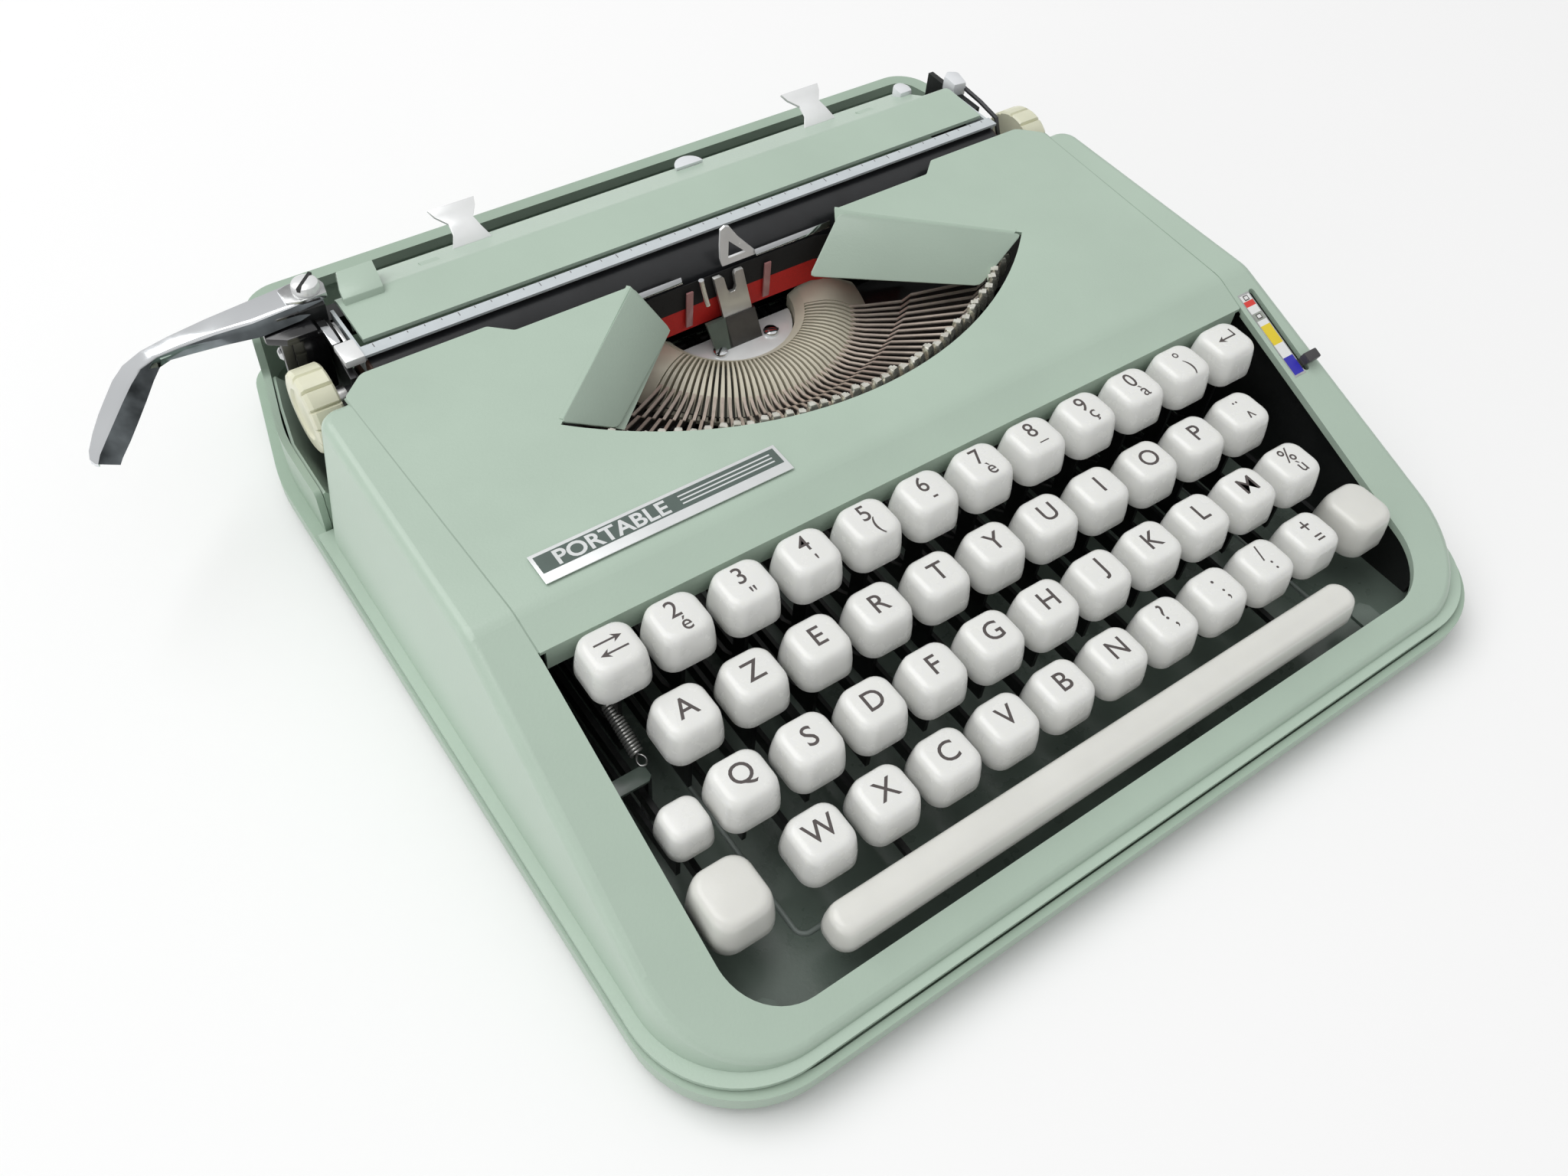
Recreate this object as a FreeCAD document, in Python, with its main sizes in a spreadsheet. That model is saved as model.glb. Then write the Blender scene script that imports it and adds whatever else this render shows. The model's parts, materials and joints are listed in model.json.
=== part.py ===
import FreeCAD, Part
import math
import os
import Sketcher

# Portable typewriter. Working axes: X to the typist's right, Y away from the typist, Z up.
# x = 0 is the middle of the machine, z = 0 is the table under the rubber feet.

DRIVING = {
    # where the middle of the bounding box lies, so that it can be moved to the origin
    "box_middle_x": -21.8, "box_middle_y": 69.7,
    # keyboard
    "key_pitch": 19.0,
    "number_row_x": -106.9, "number_row_y": 27.0, "number_row_top": 55.0,
    "upper_row_x": -97.4, "upper_row_y": 8.7, "upper_row_top": 46.6,
    "home_row_x": -94.3, "home_row_y": -10.7, "home_row_top": 41.0,
    "lower_row_x": -84.6, "lower_row_y": -29.0, "lower_row_top": 33.8,
    "margin_key_x": -106.0, "margin_key_top": 56.0,
    "cap_width": 16.0, "cap_depth": 15.6, "cap_height": 11.0, "cap_taper": 4.5,
    "cap_corner": 4.2, "cap_edge": 2.4,
    "shift_cap_width": 17.4, "shift_cap_depth": 18.6, "shift_cap_height": 12.0,
    "shift_key_x": 109.2, "shift_key_y": -29.0, "shift_key_top": 31.5,
    "lock_cap_width": 12.4, "lock_cap_depth": 12.4, "lock_cap_height": 9.0,
    "lock_key_x": -109.6, "lock_key_y": -9.8, "lock_key_top": 36.0, "lock_lever_offset": -3.0,
    "space_bar_length": 182.0, "space_bar_depth": 11.0, "space_bar_height": 8.6, "space_bar_x": -3.0,
    "space_bar_y": -46.4, "space_bar_top": 26.2, "space_arm_left": -62.5, "space_arm_right": 70.5,
    "space_lever_bottom": 12.0, "space_lever_top": 13.9,
    "lever_thick": 1.2, "lever_bottom": 14.0, "lever_top": 18.5, "neck_depth": 5.0,
    "pivot_y": 142.0, "pivot_z": 16.0, "pivot_radius": 2.0, "pivot_play": 0.05, "boss_radius": 4.4,
    # tray under the machine
    "tray_half_width": 142.0, "tray_front": -68.6, "tray_back": 208.0, "tray_back_half": 130.5,
    "tray_bottom": 2.5, "tray_floor": 1.5, "tray_wall": 2.0, "tray_rim": 10.6,
    "tray_side_top": 26.5, "tray_step": 3.5, "tray_back_top": 38.0,
    "foot_radius": 8.0, "foot_x": 112.0, "foot_front_y": -42.0, "foot_back_y": 178.0,
    # shell
    "shell_skirt_half": 138.4, "shell_deck_half": 133.2, "shell_front": -64.0, "shell_back": 131.2,
    "shell_back_corner": 6.0,
    "shell_bottom": 11.0, "shell_wall": 1.6, "flange_half": 141.2, "flange_front": -66.2,
    "flange_thick": 1.6, "front_ridge_y": -62.0, "front_ridge_z": 15.1,
    "crease_y": 47.7, "crease_z": 55.75, "deck_back_z": 56.4, "ridge_round": 3.0,
    "opening_half": 119.8, "opening_front": -55.3, "opening_back": 36.4, "opening_corner": 16.0,
    "lip_depth": 2.4, "lip_thick": 1.4,
    "slot_x": 127.5, "slot_width": 2.2, "slot_front": 12.0, "slot_back": 40.6,
    # ribbon cover
    "cover_thick": 1.0, "cover_half_front": 119.5, "cover_half_back": 123.8,
    "cover_back": 138.6, "notch_back": 133.4, "notch_half": 73.8,
    "well_half": 81.0, "well_side_y": 95.0, "well_mouth_half": 36.7, "well_arc_front": 63.2,
    "flap_drop": 10.5, "flap_inset": 12.8, "flap_outer_shift": 11.0, "flap_inner_shift": -3.0,
    # type basket
    "basket_y": 138.0, "segment_inner": 22.5, "segment_outer": 47.0, "segment_base": 23.2,
    "segment_top": 31.0, "typebar_pivot": 38.0, "typebar_count": 42, "typebar_spread": 60.0,
    "typebar_thick": 0.8, "slug_z": 50.6, "slug_gap": 3.2, "segment_sweep": 164.0, "segment_arcs": 6,
    # carriage
    "platen_y": 146.5, "platen_z": 42.5, "platen_radius": 11.5, "platen_half": 112.0,
    "axle_radius": 3.0, "axle_half": 130.0, "knob_radius": 12.0, "knob_inner": 123.5, "knob_outer": 132.5,
    "end_plate_x": 114.5, "end_plate_thick": 2.0,
    "rail_front": 157.0, "rail_back": 167.0, "rail_bottom": 20.0, "rail_top": 26.2,
    "guide_pin_radius": 3.0, "guide_pin_x": 100.0, "guide_pin_top": 28.4,
    "beam_bottom": 29.0, "beam_top": 33.0,
    "bail_y": 144.3, "bail_width": 4.0, "bail_z": 55.4, "bail_thick": 0.8, "bail_half": 113.2,
    "bail_pivot_y": 164.0, "bail_pivot_z": 51.0,
    "table_half": 110.8, "table_front": 150.0, "table_ridge": 167.0, "table_back": 182.0,
    "table_top": 57.6, "table_back_z": 51.0, "table_thick": 1.2,
    # return lever
    "lever_pivot_x": -117.0, "lever_pivot_y": 171.0, "lever_base": 60.0, "lever_plate": 2.2,
    "lever_pin_top": 62.1, "lever_head_radius": 3.2, "lever_head_top": 64.8,
    # frame
    "cheek_x": 121.5, "cheek_thick": 2.0, "cheek_front": -50.0, "cheek_drop": 3.6, "cheek_top": 50.0,
    "cheek_step": 106.0, "cheek_back": 184.0, "cheek_low_top": 21.0,
}

document = FreeCAD.newDocument("typewriter")
sheet = document.addObject("Spreadsheet::Sheet", "sizes")
for line, (word, number) in enumerate(DRIVING.items(), start=1):
    sheet.set("A%d" % line, word)
    sheet.set("B%d" % line, str(number))
    sheet.setAlias("B%d" % line, word)
document.recompute()

nodes = []


def size(word):
    return float(sheet.get(word))


def bind(thing, path, formula):
    """Ties a property to the sheet; words in the formula are cell names."""
    pieces = formula.split()
    pieces = ["sizes." + p if p in DRIVING else p for p in pieces]
    thing.setExpression(path, " ".join(pieces))


def publish(thing, label, x_formula="0"):
    """Makes a finished object a sub-part: its file name and its place about the origin."""
    thing.Label = label
    bind(thing, "Placement.Base.x", x_formula + " - box_middle_x")
    bind(thing, "Placement.Base.y", "- box_middle_y")
    nodes.append(thing)
    return thing


def box(name, x, y, z, length, width, height):
    """A Part::Box; every argument is a formula on the sheet."""
    block = document.addObject("Part::Box", name)
    for path, formula in (("Length", length), ("Width", width), ("Height", height)):
        bind(block, path, formula)
    for path, formula in (("Placement.Base.x", x), ("Placement.Base.y", y), ("Placement.Base.z", z)):
        bind(block, path, formula)
    return block


def rod_x(name, x, y, z, radius, length):
    """A cylinder along X that starts at (x, y, z)."""
    rod = document.addObject("Part::Cylinder", name)
    rod.Placement.Rotation = FreeCAD.Rotation(FreeCAD.Vector(0, 1, 0), 90)
    bind(rod, "Radius", radius)
    bind(rod, "Height", length)
    for path, formula in (("Placement.Base.x", x), ("Placement.Base.y", y), ("Placement.Base.z", z)):
        bind(rod, path, formula)
    return rod


def rod_z(name, x, y, z, radius, length):
    """A cylinder along Z that starts at (x, y, z)."""
    rod = document.addObject("Part::Cylinder", name)
    bind(rod, "Radius", radius)
    bind(rod, "Height", length)
    for path, formula in (("Placement.Base.x", x), ("Placement.Base.y", y), ("Placement.Base.z", z)):
        bind(rod, path, formula)
    return rod


def fuse(name, pieces):
    joined = document.addObject("Part::MultiFuse", name)
    joined.Shapes = pieces
    return joined


def cut(name, base, tool):
    result = document.addObject("Part::Cut", name)
    result.Base = base
    result.Tool = tool
    return result


def compound(name, pieces):
    group = document.addObject("Part::Compound", name)
    group.Links = pieces
    return group


# ---------------------------------------------------------------- free-form helpers

def plan(x, y):
    return FreeCAD.Vector(x, y, 0)


def profile(y, z):
    return FreeCAD.Vector(0, y, z)


def rounded_wire(corners, place):
    """Closed outline through corners (u, v, radius), with a tangent arc at each rounded corner."""
    edges = []
    ends = []
    count = len(corners)
    for i, (u, v, radius) in enumerate(corners):
        here = FreeCAD.Vector(u, v, 0)
        before = FreeCAD.Vector(corners[i - 1][0], corners[i - 1][1], 0) - here
        after = FreeCAD.Vector(corners[(i + 1) % count][0], corners[(i + 1) % count][1], 0) - here
        before.normalize()
        after.normalize()
        if radius <= 0:
            ends.append((here, here, None))
            continue
        half = math.acos(max(-1.0, min(1.0, before.dot(after)))) / 2
        reach = radius / math.tan(half)
        middle = before + after
        middle.normalize()
        centre = here + middle * (radius / math.sin(half))
        ends.append((here + before * reach, here + after * reach, centre - middle * radius))
    for i in range(count):
        start, stop, through = ends[i]
        if through is not None:
            a, b, c = (place(p.x, p.y) for p in (start, through, stop))
            edges.append(Part.Arc(a, b, c).toShape())
        following = ends[(i + 1) % count][0]
        if (following - stop).Length > 1e-6:
            edges.append(Part.LineSegment(place(stop.x, stop.y), place(following.x, following.y)).toShape())
    return Part.Wire(edges)


def slab(corners, bottom, top):
    """An upright solid with a plan outline."""
    wire = rounded_wire(corners, plan)
    wire.translate(FreeCAD.Vector(0, 0, bottom))
    return Part.Face(wire).extrude(FreeCAD.Vector(0, 0, top - bottom))


def across(corners, half_length):
    """A solid with a side profile, as long as the machine is wide."""
    wire = rounded_wire(corners, profile)
    wire.translate(FreeCAD.Vector(-half_length, 0, 0))
    return Part.Face(wire).extrude(FreeCAD.Vector(2 * half_length, 0, 0))


def mirrored(points):
    """Completes a right-hand half outline (x > 0, front to back) with its left half."""
    return points + [(-x, y, radius) for x, y, radius in reversed(points)]


def free_form(name, shape):
    feature = document.addObject("Part::Feature", name)
    feature.Shape = shape
    return feature


# ---------------------------------------------------------------- tray, shell, cover

def tray_outline(inset, side=0.0):
    """Tray plan moved inwards by inset all round, and by side more along both sides."""
    half = size("tray_half_width") - inset - side
    back_half = size("tray_back_half") - inset - side
    back = size("tray_back") - inset
    return mirrored([
        (half, size("tray_front") + inset, 30 - inset),
        (half, 158, 60),
        (back_half, back, 12 - inset),
    ])


def base_tray():
    """Pressed pan with a low rim, stepped-in higher walls at the back, a rolled edge and four feet."""
    low = size("tray_bottom")
    high = size("tray_back_top")
    side = size("tray_side_top")
    start = size("shell_back") + 1.2
    back = size("tray_back")
    ledge = size("tray_rim")
    step = size("tray_step")
    wall = size("tray_wall")
    pan = slab(tray_outline(0), low, ledge)
    under = [edge for edge in pan.Edges if edge.BoundBox.ZMax < low + 0.1]
    pan = pan.makeFillet(3.0, under)
    whole = pan.fuse(slab(tray_outline(0, step), ledge - wall, high))
    outline = [
        (-90, low, 0), (back + 5, low, 0), (back + 5, high, 0), (187.5, high, 3), (184, side, 3),
        (start, side, 2), (start, size("tray_rim"), 0), (-90, size("tray_rim"), 0),
    ]
    silhouette = across(outline, 200)
    hollow = slab(tray_outline(wall), low + size("tray_floor"), ledge - wall)
    hollow = hollow.fuse(slab(tray_outline(wall, step), ledge - wall, high + 5))
    rim = slab(tray_outline(0.5, step), high - 3.5, high)
    rim = rim.cut(slab(tray_outline(4.6, step), high - 5, high + 1))
    rim = rim.common(Part.makeBox(400, 30, 60, FreeCAD.Vector(-200, 188, 0)))
    body = whole.cut(hollow).fuse(rim).common(silhouette).removeSplitter()
    feet = []
    for x in (-size("foot_x"), size("foot_x")):
        for y in (size("foot_front_y"), size("foot_back_y")):
            foot = Part.makeCone(size("foot_radius") - 1, size("foot_radius"), low, FreeCAD.Vector(x, y, 0))
            feet.append(foot)
    publish(free_form("tray_pan", Part.makeCompound([body] + feet)), "base_tray")


def top_profile(drop, bottom):
    """Side outline of the shell's top: sloping rails, crease and deck, lowered by drop."""
    return [
        (-120, bottom, 0),
        (size("shell_back") + 30, bottom, 0),
        (size("shell_back") + 30, size("deck_back_z") - drop, 0),
        (size("crease_y"), size("crease_z") - drop, 12),
        (size("front_ridge_y") - 58, size("front_ridge_z") - 21.5 - drop, 0),
    ]


def lean_outline(inset, height):
    """Shell plan at a height; the walls lean in from the skirt to the deck."""
    rise = (height - size("shell_bottom")) / (size("crease_z") - size("shell_bottom"))
    half = size("shell_skirt_half") + rise * (size("shell_deck_half") - size("shell_skirt_half")) - inset
    front = size("shell_front") + rise * 12 + inset
    back = size("shell_back")
    curl = size("shell_back_corner")
    return [(half, front, 28 - inset), (half, back, curl), (-half, back, curl), (-half, front, 28 - inset)]


def shell_block(inset, bottom, drop):
    """Solid of the shell's outside, or of its inside when inset and lowered."""
    wires = []
    for height in (bottom, 60.0):
        wire = rounded_wire(lean_outline(inset, height), plan)
        wire.translate(FreeCAD.Vector(0, 0, height))
        wires.append(wire)
    return Part.makeLoft(wires, True, True).common(across(top_profile(drop, -40), 200))


def top_edges(block):
    """The edges where the walls meet the rails and the deck, without the open back."""
    chosen = []
    for edge in block.Edges:
        box_of = edge.BoundBox
        on_back = box_of.YMin > size("shell_back") - 0.5
        upright = box_of.ZMax - box_of.ZMin > 30 and box_of.YMax - box_of.YMin < 20
        wide = box_of.XMax - box_of.XMin > 100 and box_of.YMin > size("opening_back")
        if on_back or upright or wide or box_of.ZMin < size("shell_bottom") + 0.1:
            continue
        if min(abs(box_of.XMax), abs(box_of.XMin)) > 100 or box_of.YMax < size("opening_front"):
            chosen.append(edge)
    return chosen


def opening_outline(grow):
    half = size("opening_half") + grow
    front = size("opening_front") - grow
    back = size("opening_back") + grow
    corner = size("opening_corner") + grow
    return [(half, front, corner), (half, back, 0), (-half, back, 0), (-half, front, corner)]


def cover_outline(grow):
    """Plan of the ribbon cover with its typing well left out."""
    front = size("opening_back") + 0.3
    return mirrored([
        (size("cover_half_front") + grow, front, 0),
        (size("cover_half_back") + grow, size("notch_back") - 1, 2),
        (size("cover_half_back") - 7 + grow, size("cover_back"), 4),
        (size("notch_half") + 6, size("cover_back"), 2),
        (size("notch_half"), size("notch_back"), 2),
    ])


def body_shell():
    """One-piece pressed shell: front, two side walls, sloping rails, an outward flange below."""
    wall = size("shell_wall")
    bottom = size("shell_bottom")
    outer = shell_block(0, bottom, 0)
    edges = top_edges(outer)
    if edges:
        outer = outer.makeFillet(size("ridge_round"), edges)
    shell = outer.cut(shell_block(wall, bottom - 5, wall))
    flange = slab([
        (size("flange_half"), size("flange_front"), 29), (size("flange_half"), size("shell_back"), 0),
        (-size("flange_half"), size("shell_back"), 0), (-size("flange_half"), size("flange_front"), 29),
    ], bottom, bottom + size("flange_thick"))
    flange = flange.cut(slab(lean_outline(wall, bottom), bottom - 1, bottom + 5))
    shell = shell.fuse(flange)
    ledge = across(top_profile(wall - 0.1, -40), 126).cut(across(top_profile(wall + 1.4, -50), 130))
    strips = []
    for x in (-126.5, 114.5):
        strips.append(Part.makeBox(12, 86, 80, FreeCAD.Vector(x, 44, 0)))
    ledge = ledge.common(strips[0].fuse(strips[1]))
    shell = shell.cut(slab(opening_outline(0), 0, 80))
    cover_gap = mirrored([
        (size("cover_half_front") + 0.35, size("opening_back") - 1, 0),
        (size("cover_half_back") + 0.35, size("notch_back"), 0),
    ])
    shell = shell.cut(slab(cover_gap, 30, 80))
    ring = slab(opening_outline(size("lip_thick")), 0, 80).cut(slab(opening_outline(0), -1, 81))
    ring = ring.cut(slab([(150, 36, 0), (150, 60, 0), (-150, 60, 0), (-150, 36, 0)], -1, 81))
    lip = across(top_profile(0.8, -40), 200).cut(across(top_profile(size("lip_depth"), -50), 210))
    lip = lip.common(ring)
    shell = shell.fuse([ledge, lip])
    middle = size("slot_x")
    half = size("slot_width") / 2
    slot = slab([(middle + half, size("slot_front"), 1), (middle + half, size("slot_back"), 1),
                 (middle - half, size("slot_back"), 1), (middle - half, size("slot_front"), 1)], 30, 80)
    shell = shell.cut(slot).removeSplitter()
    publish(free_form("shell_pressing", shell), "body_shell")


def well_outline():
    """Typing well: an arc in front, two slanting sides, open towards the platen."""
    half = size("well_half")
    side = size("well_side_y")
    front = size("well_arc_front")
    mouth = size("well_mouth_half")
    back = size("notch_back") + 3
    points = [FreeCAD.Vector(*p) for p in (
        (-mouth, back, 0), (-mouth, size("notch_back") + 0.5, 0), (-half, side, 0), (0, front, 0),
        (half, side, 0), (mouth, size("notch_back") + 0.5, 0), (mouth, back, 0))]
    edges = [
        Part.LineSegment(points[0], points[1]).toShape(),
        Part.LineSegment(points[1], points[2]).toShape(),
        Part.Arc(points[2], points[3], points[4]).toShape(),
        Part.LineSegment(points[4], points[5]).toShape(),
        Part.LineSegment(points[5], points[6]).toShape(),
        Part.LineSegment(points[6], points[0]).toShape(),
    ]
    return Part.Wire(edges)


def well_flap(side):
    """Folded flap under one slanting side of the typing well; side is -1 or 1."""
    top = size("deck_back_z") - 0.2
    low = top - size("flap_drop")
    thick = 1.2
    outer = FreeCAD.Vector(size("well_half") - 1.5, size("well_side_y") + 1.2, top)
    inner = FreeCAD.Vector(size("well_mouth_half"), size("notch_back"), top)
    along = inner - outer
    along.normalize()
    inward = FreeCAD.Vector(along.y, -along.x, 0) * -1
    if inward.x > 0:
        inward = inward * -1
    drop = FreeCAD.Vector(0, 0, low - top)
    outer_low = outer + inward * size("flap_inset") + along * size("flap_outer_shift") + drop
    inner_low = inner + inward * size("flap_inset") + along * size("flap_inner_shift") + drop
    corners = [FreeCAD.Vector(side * c.x, c.y, c.z) for c in (outer, inner, inner_low, outer_low, outer)]
    outward = FreeCAD.Vector(-side * inward.x, -inward.y, 0) * thick
    return Part.Face(Part.makePolygon(corners)).extrude(outward)


def ribbon_cover():
    """Lift-off cover over the ribbon: deck, front band, folded front edge and two well flaps."""
    thick = size("cover_thick")
    sheet_metal = across(top_profile(0, -40), 200).cut(across(top_profile(thick, -50), 210))
    plate = sheet_metal.common(slab(cover_outline(0), 30, 80))
    well = well_outline()
    well.translate(FreeCAD.Vector(0, 0, 30))
    plate = plate.cut(Part.Face(well).extrude(FreeCAD.Vector(0, 0, 60)))
    front = size("opening_back") + 0.3
    half = size("cover_half_front") - 1.5
    fold = across(top_profile(0.3, -40), half).cut(across(top_profile(7.5, -50), 200))
    fold = fold.common(Part.makeBox(2 * half, 1.2, 80, FreeCAD.Vector(-half, front, 0)))
    cover = plate.fuse([fold, well_flap(-1), well_flap(1)]).removeSplitter()
    publish(free_form("cover_pressing", cover), "ribbon_cover")


# ---------------------------------------------------------------- frame and type basket

def side_plate(side):
    """Chassis side plate: a high length under the sloping rail, a low one behind; side is -1 or 1."""
    floor = size("tray_bottom") + size("tray_floor")
    slope = (size("crease_z") - size("front_ridge_z")) / (size("crease_y") - size("front_ridge_y"))
    front = size("cheek_front")
    step = size("cheek_step")
    top = size("cheek_top")
    front_top = size("crease_z") - slope * (size("crease_y") - front) - size("cheek_drop")
    bend = front + (top - front_top) / slope
    half = size("cheek_thick") / 2
    outline = [(front, floor, 0), (step, floor, 0), (step, top, 0), (bend, top, 0), (front, front_top, 0)]
    high = across(outline, half)
    low = Part.makeBox(2 * half, size("cheek_back") - step, size("cheek_low_top") - floor,
                       FreeCAD.Vector(-half, step, floor))
    plate = Part.makeCompound([high, low])
    plate.translate(FreeCAD.Vector(side * (size("cheek_x") + half), 0, 0))
    return free_form("left_plate" if side < 0 else "right_plate", Part.makeCompound([plate]))


def lever_frame():
    """Side plates, the key shaft, the segment bridge, two cross bars and the carriage guide pins."""
    floor = "tray_bottom + tray_floor"
    parts = [side_plate(-1), side_plate(1)]
    parts.append(rod_x("key_shaft", "- cheek_x", "pivot_y", "pivot_z", "pivot_radius", "2 * cheek_x"))
    parts.append(box("segment_bridge", "-125", "106", "cheek_low_top", "250", "25",
                     "segment_base - cheek_low_top"))
    parts.append(box("back_bar", "- cheek_x", "176", "12", "2 * cheek_x", "6", "3"))
    parts.append(box("cross_bar", "- cheek_x", "rail_front", floor, "2 * cheek_x",
                     "rail_back - rail_front", "5"))
    middle = "( rail_front + rail_back ) / 2"
    foot = floor + " + 5"
    for name, x in (("left_pin", "- guide_pin_x"), ("right_pin", "guide_pin_x")):
        collar = rod_z(name + "_collar", x, middle, foot, "guide_pin_radius + 1.5",
                       "rail_bottom - 0.05 - ( " + foot + " )")
        pin = rod_z(name, x, middle, "rail_bottom - 0.05", "guide_pin_radius",
                    "guide_pin_top - rail_bottom + 0.05")
        parts += [collar, pin]
    publish(compound("chassis_frame", parts), "lever_frame")


def typebar(angle, pivot, slug_reach):
    """One typebar lying at rest: a thin arm out of the segment and an upright end with the type slug."""
    base = size("segment_top") - 1.5
    tip = size("slug_z")
    thin = size("typebar_thick")
    elbow = slug_reach - 9
    arm = [
        (pivot - 2, base - 2.4, 0), (elbow, base + 1.6, 0),
        (elbow, base + 5.6, 0), (pivot - 2, base + 0.6, 0),
    ]
    upright = [(elbow, base + 1.6, 0), (slug_reach, tip - 6.0, 0), (slug_reach, tip, 0),
               (slug_reach - 2.6, tip, 0), (elbow, base + 5.6, 0)]
    lengths = []
    for outline in (arm, upright):
        wire = rounded_wire(outline, lambda u, v: FreeCAD.Vector(-thin / 2, -u, v))
        length = Part.Face(wire).extrude(FreeCAD.Vector(thin, 0, 0))
        length.rotate(FreeCAD.Vector(0, 0, 0), FreeCAD.Vector(0, 0, 1), angle)
        length.translate(FreeCAD.Vector(0, size("basket_y"), 0))
        lengths.append(length)
    return lengths


def slug_distance(angle):
    """Reach of a typebar from the basket's centre to the well's front arc, less the gap."""
    half = size("well_half")
    depth = size("well_side_y") - size("well_arc_front")
    radius = (half ** 2 + depth ** 2) / (2 * depth)
    centre = size("well_arc_front") + radius
    offset = size("basket_y") - centre
    along = math.cos(math.radians(angle))
    root = math.sqrt((radius - size("slug_gap")) ** 2 - offset ** 2 * (1 - along ** 2))
    return offset * along + root


def type_basket():
    """Slotted segment in short arcs on its bridge, its clamp plate and the fan of typebars."""
    inner = size("segment_inner")
    outer = size("segment_outer")
    base = size("segment_base")
    top = size("segment_top")
    outline = [
        (inner, base, 0), (outer, base, 0), (outer, top - 3, 2.5), (outer - 9, top, 6),
        (inner + 3, top - 1.5, 0), (inner, top - 3.5, 0),
    ]
    count = int(size("typebar_count"))
    spread = size("typebar_spread")
    slots = []
    bars = []
    for i in range(count):
        angle = -spread + 2 * spread * i / (count - 1)
        slot = Part.makeBox(size("typebar_thick") + 0.2, outer, top, FreeCAD.Vector(
            -size("typebar_thick") / 2 - 0.1, -outer - 2, top - 5))
        slot = slot.cut(Part.makeCylinder(inner + 8, 60, FreeCAD.Vector(0, 0, 0)))
        slot.rotate(FreeCAD.Vector(0, 0, 0), FreeCAD.Vector(0, 0, 1), angle)
        slot.translate(FreeCAD.Vector(0, size("basket_y"), 0))
        slots.append(slot)
        bars += typebar(angle, size("typebar_pivot"), slug_distance(angle))
    arcs = []
    arc_count = int(size("segment_arcs"))
    sweep = size("segment_sweep") / arc_count
    for i in range(arc_count):
        section = Part.Face(rounded_wire(outline, lambda u, v: FreeCAD.Vector(0, -u, v)))
        section.rotate(FreeCAD.Vector(0, 0, 0), FreeCAD.Vector(0, 0, 1), sweep * (i - arc_count / 2))
        arc = section.revolve(FreeCAD.Vector(0, 0, 0), FreeCAD.Vector(0, 0, 1), sweep)
        arc.translate(FreeCAD.Vector(0, size("basket_y"), 0))
        arcs.append(arc.cut(Part.makeCompound(slots)))
    middle = FreeCAD.Vector(0, size("basket_y"), base)
    plate = Part.makeCylinder(inner - 0.4, 1.2, middle, FreeCAD.Vector(0, 0, 1))
    plate = plate.cut(Part.makeBox(80, 60, 40, FreeCAD.Vector(-40, size("basket_y") - 7.2, 0)))
    publish(free_form("basket", Part.makeCompound(arcs + [plate] + bars)), "type_basket")


# ---------------------------------------------------------------- keys

def rectangle_sketch(body, name, width, depth):
    """A rectangle about the body's origin, tied to the sheet."""
    plane = [f for f in body.Origin.OriginFeatures if f.Role == "XY_Plane"][0]
    sketch = body.newObject("Sketcher::SketchObject", name)
    sketch.AttachmentSupport = [(plane, "")]
    sketch.MapMode = "FlatFace"
    corners = [(-5, -5), (5, -5), (5, 5), (-5, 5)]
    for i in range(4):
        start = FreeCAD.Vector(corners[i][0], corners[i][1], 0)
        stop = FreeCAD.Vector(corners[(i + 1) % 4][0], corners[(i + 1) % 4][1], 0)
        sketch.addGeometry(Part.LineSegment(start, stop))
    for i in range(4):
        sketch.addConstraint(Sketcher.Constraint("Coincident", i, 2, (i + 1) % 4, 1))
    for i, kind in enumerate(("Horizontal", "Vertical", "Horizontal", "Vertical")):
        sketch.addConstraint(Sketcher.Constraint(kind, i))
    sketch.addConstraint(Sketcher.Constraint("Symmetric", 0, 1, 1, 2, -1, 1))
    wide = sketch.addConstraint(Sketcher.Constraint("Distance", 0, 10.0))
    deep = sketch.addConstraint(Sketcher.Constraint("Distance", 1, 10.0))
    bind(sketch, "Constraints[%d]" % wide, width)
    bind(sketch, "Constraints[%d]" % deep, depth)
    return sketch


def key_cap(name, width, depth, height, top, y, taper="cap_taper", corner="cap_corner", edge="cap_edge"):
    """Moulded cap: a tapered pad with rounded uprights and a rounded top edge."""
    body = document.addObject("PartDesign::Body", name)
    sketch = rectangle_sketch(body, name + "_outline", width, depth)
    pad = body.newObject("PartDesign::Pad", name + "_pad")
    pad.Profile = sketch
    bind(pad, "Length", height)
    bind(pad, "TaperAngle", "0 - " + taper)
    document.recompute()
    uprights = body.newObject("PartDesign::Fillet", name + "_corners")
    names = []
    for i, line in enumerate(pad.Shape.Edges, start=1):
        bounds = line.BoundBox
        if bounds.ZMax - bounds.ZMin > 2:
            names.append("Edge%d" % i)
    uprights.Base = (pad, names)
    bind(uprights, "Radius", corner)
    document.recompute()
    rim = body.newObject("PartDesign::Fillet", name + "_rim")
    high = max(v.Z for v in uprights.Shape.Vertexes)
    names = []
    for i, line in enumerate(uprights.Shape.Edges, start=1):
        if line.BoundBox.ZMin > high - 0.01:
            names.append("Edge%d" % i)
    rim.Base = (uprights, names)
    bind(rim, "Radius", edge)
    body.Tip = rim
    bind(body, "Placement.Base.y", y)
    bind(body, "Placement.Base.z", top + " - " + height)
    return body


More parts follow.
